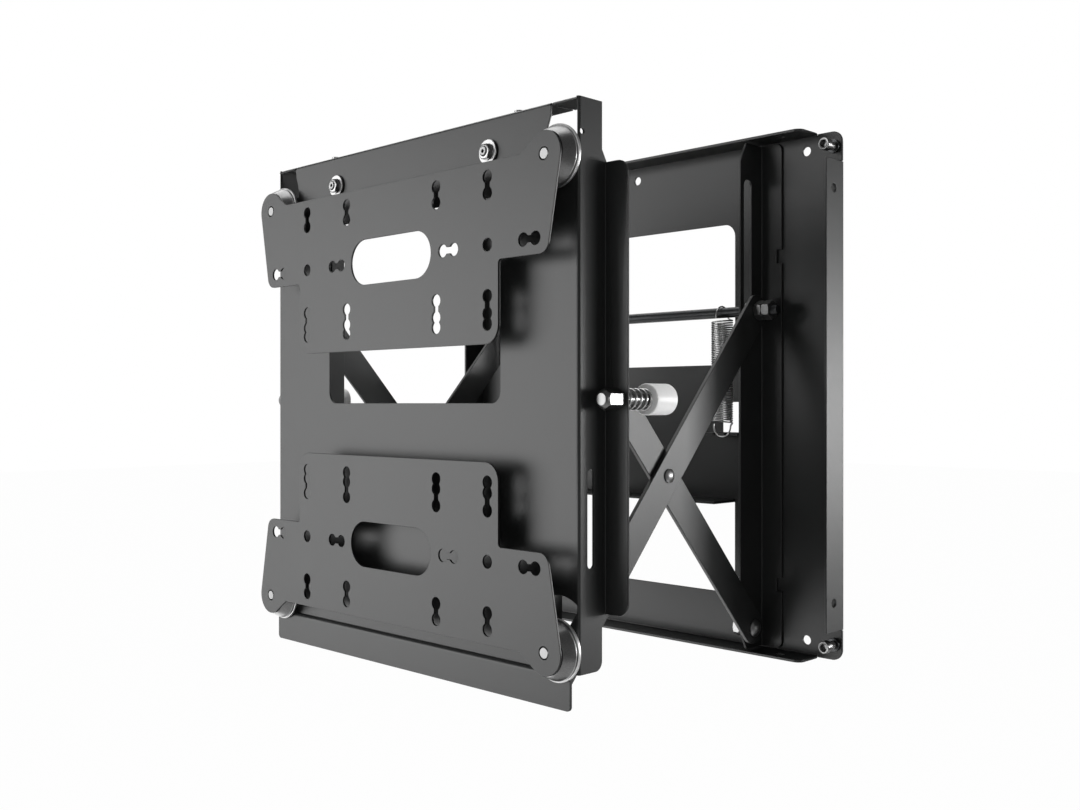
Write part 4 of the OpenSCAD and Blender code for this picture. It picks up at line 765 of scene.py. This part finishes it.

# The buffer springs have a closed curl at each end. In use the buffer's travel presses them together;
# here each is wound once, at the length of its part.
# A closed curl climbs by this share of the wire, less than the wire, because it touches the next.
press = {"outer": 14.0, "wire": 1.6, "curls": 4.0, "closed": 0.75, "closedClimb": 0.6,
         "stepsPerCurl": 24, "travel": 10.0}
for side in ("left", "right"):
    low, high = boxMm("buffer_spring_" + side)
    centre = (low + high) / 2
    r = (press["outer"] - press["wire"]) / 2
    first, last = low.y + press["wire"] / 2, high.y - press["wire"] / 2
    total = press["curls"] + 2 * press["closed"]
    count = int(total * press["stepsPerCurl"])
    rise = press["wire"] * press["closedClimb"]
    points = []
    for i in range(count + 1):
        curl = total * i / count
        share = min(max((curl - press["closed"]) / press["curls"], 0), 1)
        atStart = min(curl / press["closed"], 1)
        atEnd = min(max(curl - total + press["closed"], 0) / press["closed"], 1)
        climb = rise * atStart + rise * atEnd
        y = first + climb + (last - first - 2 * rise) * share
        a = math.radians(360 * curl)
        points.append((centre.x + r * math.cos(a), y, centre.z + r * math.sin(a)))
    spring = wirePiece("buffer_spring_" + side + "_wound", points, press["wire"] / 2, "frame",
                       "buffer_spring_" + side)
    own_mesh(spring)
print("springs wound")

# A white room: the camera sees it at full white, and everything else sees it dimmed, so that it
# lights the object softly and the black coat and the metals keep their depth.
room = {"seen": 1.0, "dimmed": 0.14}
world = bpy.data.worlds.new("studio")
bpy.context.scene.world = world
world.use_nodes = True
tree = world.node_tree
tree.nodes.clear()
path = addNode(tree, "ShaderNodeLightPath")
dimmed = addNode(tree, "ShaderNodeBackground", None,
                 {"Color": (1, 1, 1, 1), "Strength": room["dimmed"]})
white = addNode(tree, "ShaderNodeBackground", None,
                {"Color": (1, 1, 1, 1), "Strength": room["seen"]})
both = addNode(tree, "ShaderNodeMixShader", None,
               {0: path.outputs["Is Camera Ray"], 1: dimmed.outputs[0], 2: white.outputs[0]})
addNode(tree, "ShaderNodeOutputWorld", None, {"Surface": both.outputs[0]})

# A pale matt floor. For the camera most of it is its own light, and the rest takes the shadow.
floor = {"size": 40.0, "height": -1.2, "colour": "#f2f2f2", "rough": 0.9, "ownLight": 0.985}
bm = bmesh.new()
bmesh.ops.create_grid(bm, x_segments=1, y_segments=1, size=floor["size"] / 2)
bmesh.ops.translate(bm, verts=bm.verts, vec=(0, 0, floor["height"]))
mesh = bpy.data.meshes.new("floor")
bm.to_mesh(mesh)
bm.free()
floorMaterial, tree, shader = newMaterial(
    "whiteStudioFloor", {"Base Color": linearColour(floor["colour"]), "Roughness": floor["rough"]})[:3]
path = addNode(tree, "ShaderNodeLightPath")
share = addNode(tree, "ShaderNodeMath", {"operation": "MULTIPLY"},
                {0: path.outputs["Is Camera Ray"], 1: floor["ownLight"]})
glow = addNode(tree, "ShaderNodeEmission", None, {"Color": (1, 1, 1, 1), "Strength": 1.0})
mix = addNode(tree, "ShaderNodeMixShader", None,
              {0: share.outputs[0], 1: shader.outputs[0], 2: glow.outputs[0]})
tree.links.new(mix.outputs[0], tree.nodes["Material Output"].inputs["Surface"])
mesh.materials.append(floorMaterial)
floorPiece = bpy.data.objects.new("floor", mesh)
bpy.context.scene.collection.objects.link(floorPiece)

# Two big panels at the front left, small ones at the right rear that glance along the side faces,
# one above and one below, and a weak one at the near right. All are turned to the object's middle.
lampAim = (0, -0.12, 0)
lamps = [{"name": "keyPanel", "at": (-1.7, -2.08, 0.0), "size": (2.0, 1.8), "power": 52},
         {"name": "frontPanel", "at": (-0.9, -2.6, 0.0), "size": (1.6, 2.2), "power": 12},
         {"name": "rearStrip", "at": (0.85, 1.7, -0.02), "size": (0.4, 0.36), "power": 4},
         {"name": "rightStrip", "at": (1.4, 1.25, -0.02), "size": (0.5, 0.36), "power": 15.5},
         {"name": "rightPanel", "at": (2.0, 0.9, 0.0), "size": (0.8, 0.8), "power": 9},
         {"name": "topPanel", "at": (-0.6, 0.1, 1.6), "size": (1.2, 2.2), "power": 23},
         {"name": "underPanel", "at": (-0.6, 0.1, -1.15), "size": (1.2, 2.0), "power": 13},
         {"name": "nearPanel", "at": (1.3, -1.45, 0.1), "size": (0.3, 0.9), "power": 2.8}]
for lamp in lamps:
    light = bpy.data.lights.new(lamp["name"], "AREA")
    light.shape = "RECTANGLE"
    light.size, light.size_y = lamp["size"]
    light.energy = lamp["power"]
    lampObject = bpy.data.objects.new(lamp["name"], light)
    lampObject.location = lamp["at"]
    aim = Vector(lampAim) - Vector(lamp["at"])
    lampObject.rotation_euler = aim.to_track_quat("-Z", "Y").to_euler()
    bpy.context.scene.collection.objects.link(lampObject)

# The camera's place, direction and lens were fitted to the photo. The shift is in picture widths.
view = {"at": (0.6387, -0.7624, -0.0056), "forward": (-0.7051, 0.7091, 0.0), "lens": 38.63,
        "sensor": 36, "shiftY": -1.8 / 1080}
cameraData = bpy.data.cameras.new("photoView")
cameraData.lens = view["lens"]
cameraData.sensor_width = view["sensor"]
cameraData.shift_y = view["shiftY"]
camera = bpy.data.objects.new("photoView", cameraData)
camera.location = view["at"]
camera.rotation_euler = Vector(view["forward"]).to_track_quat("-Z", "Y").to_euler()
bpy.context.scene.collection.objects.link(camera)
bpy.context.scene.camera = camera
bpy.context.scene.view_settings.view_transform = "Standard"
print("light, floor and camera set")
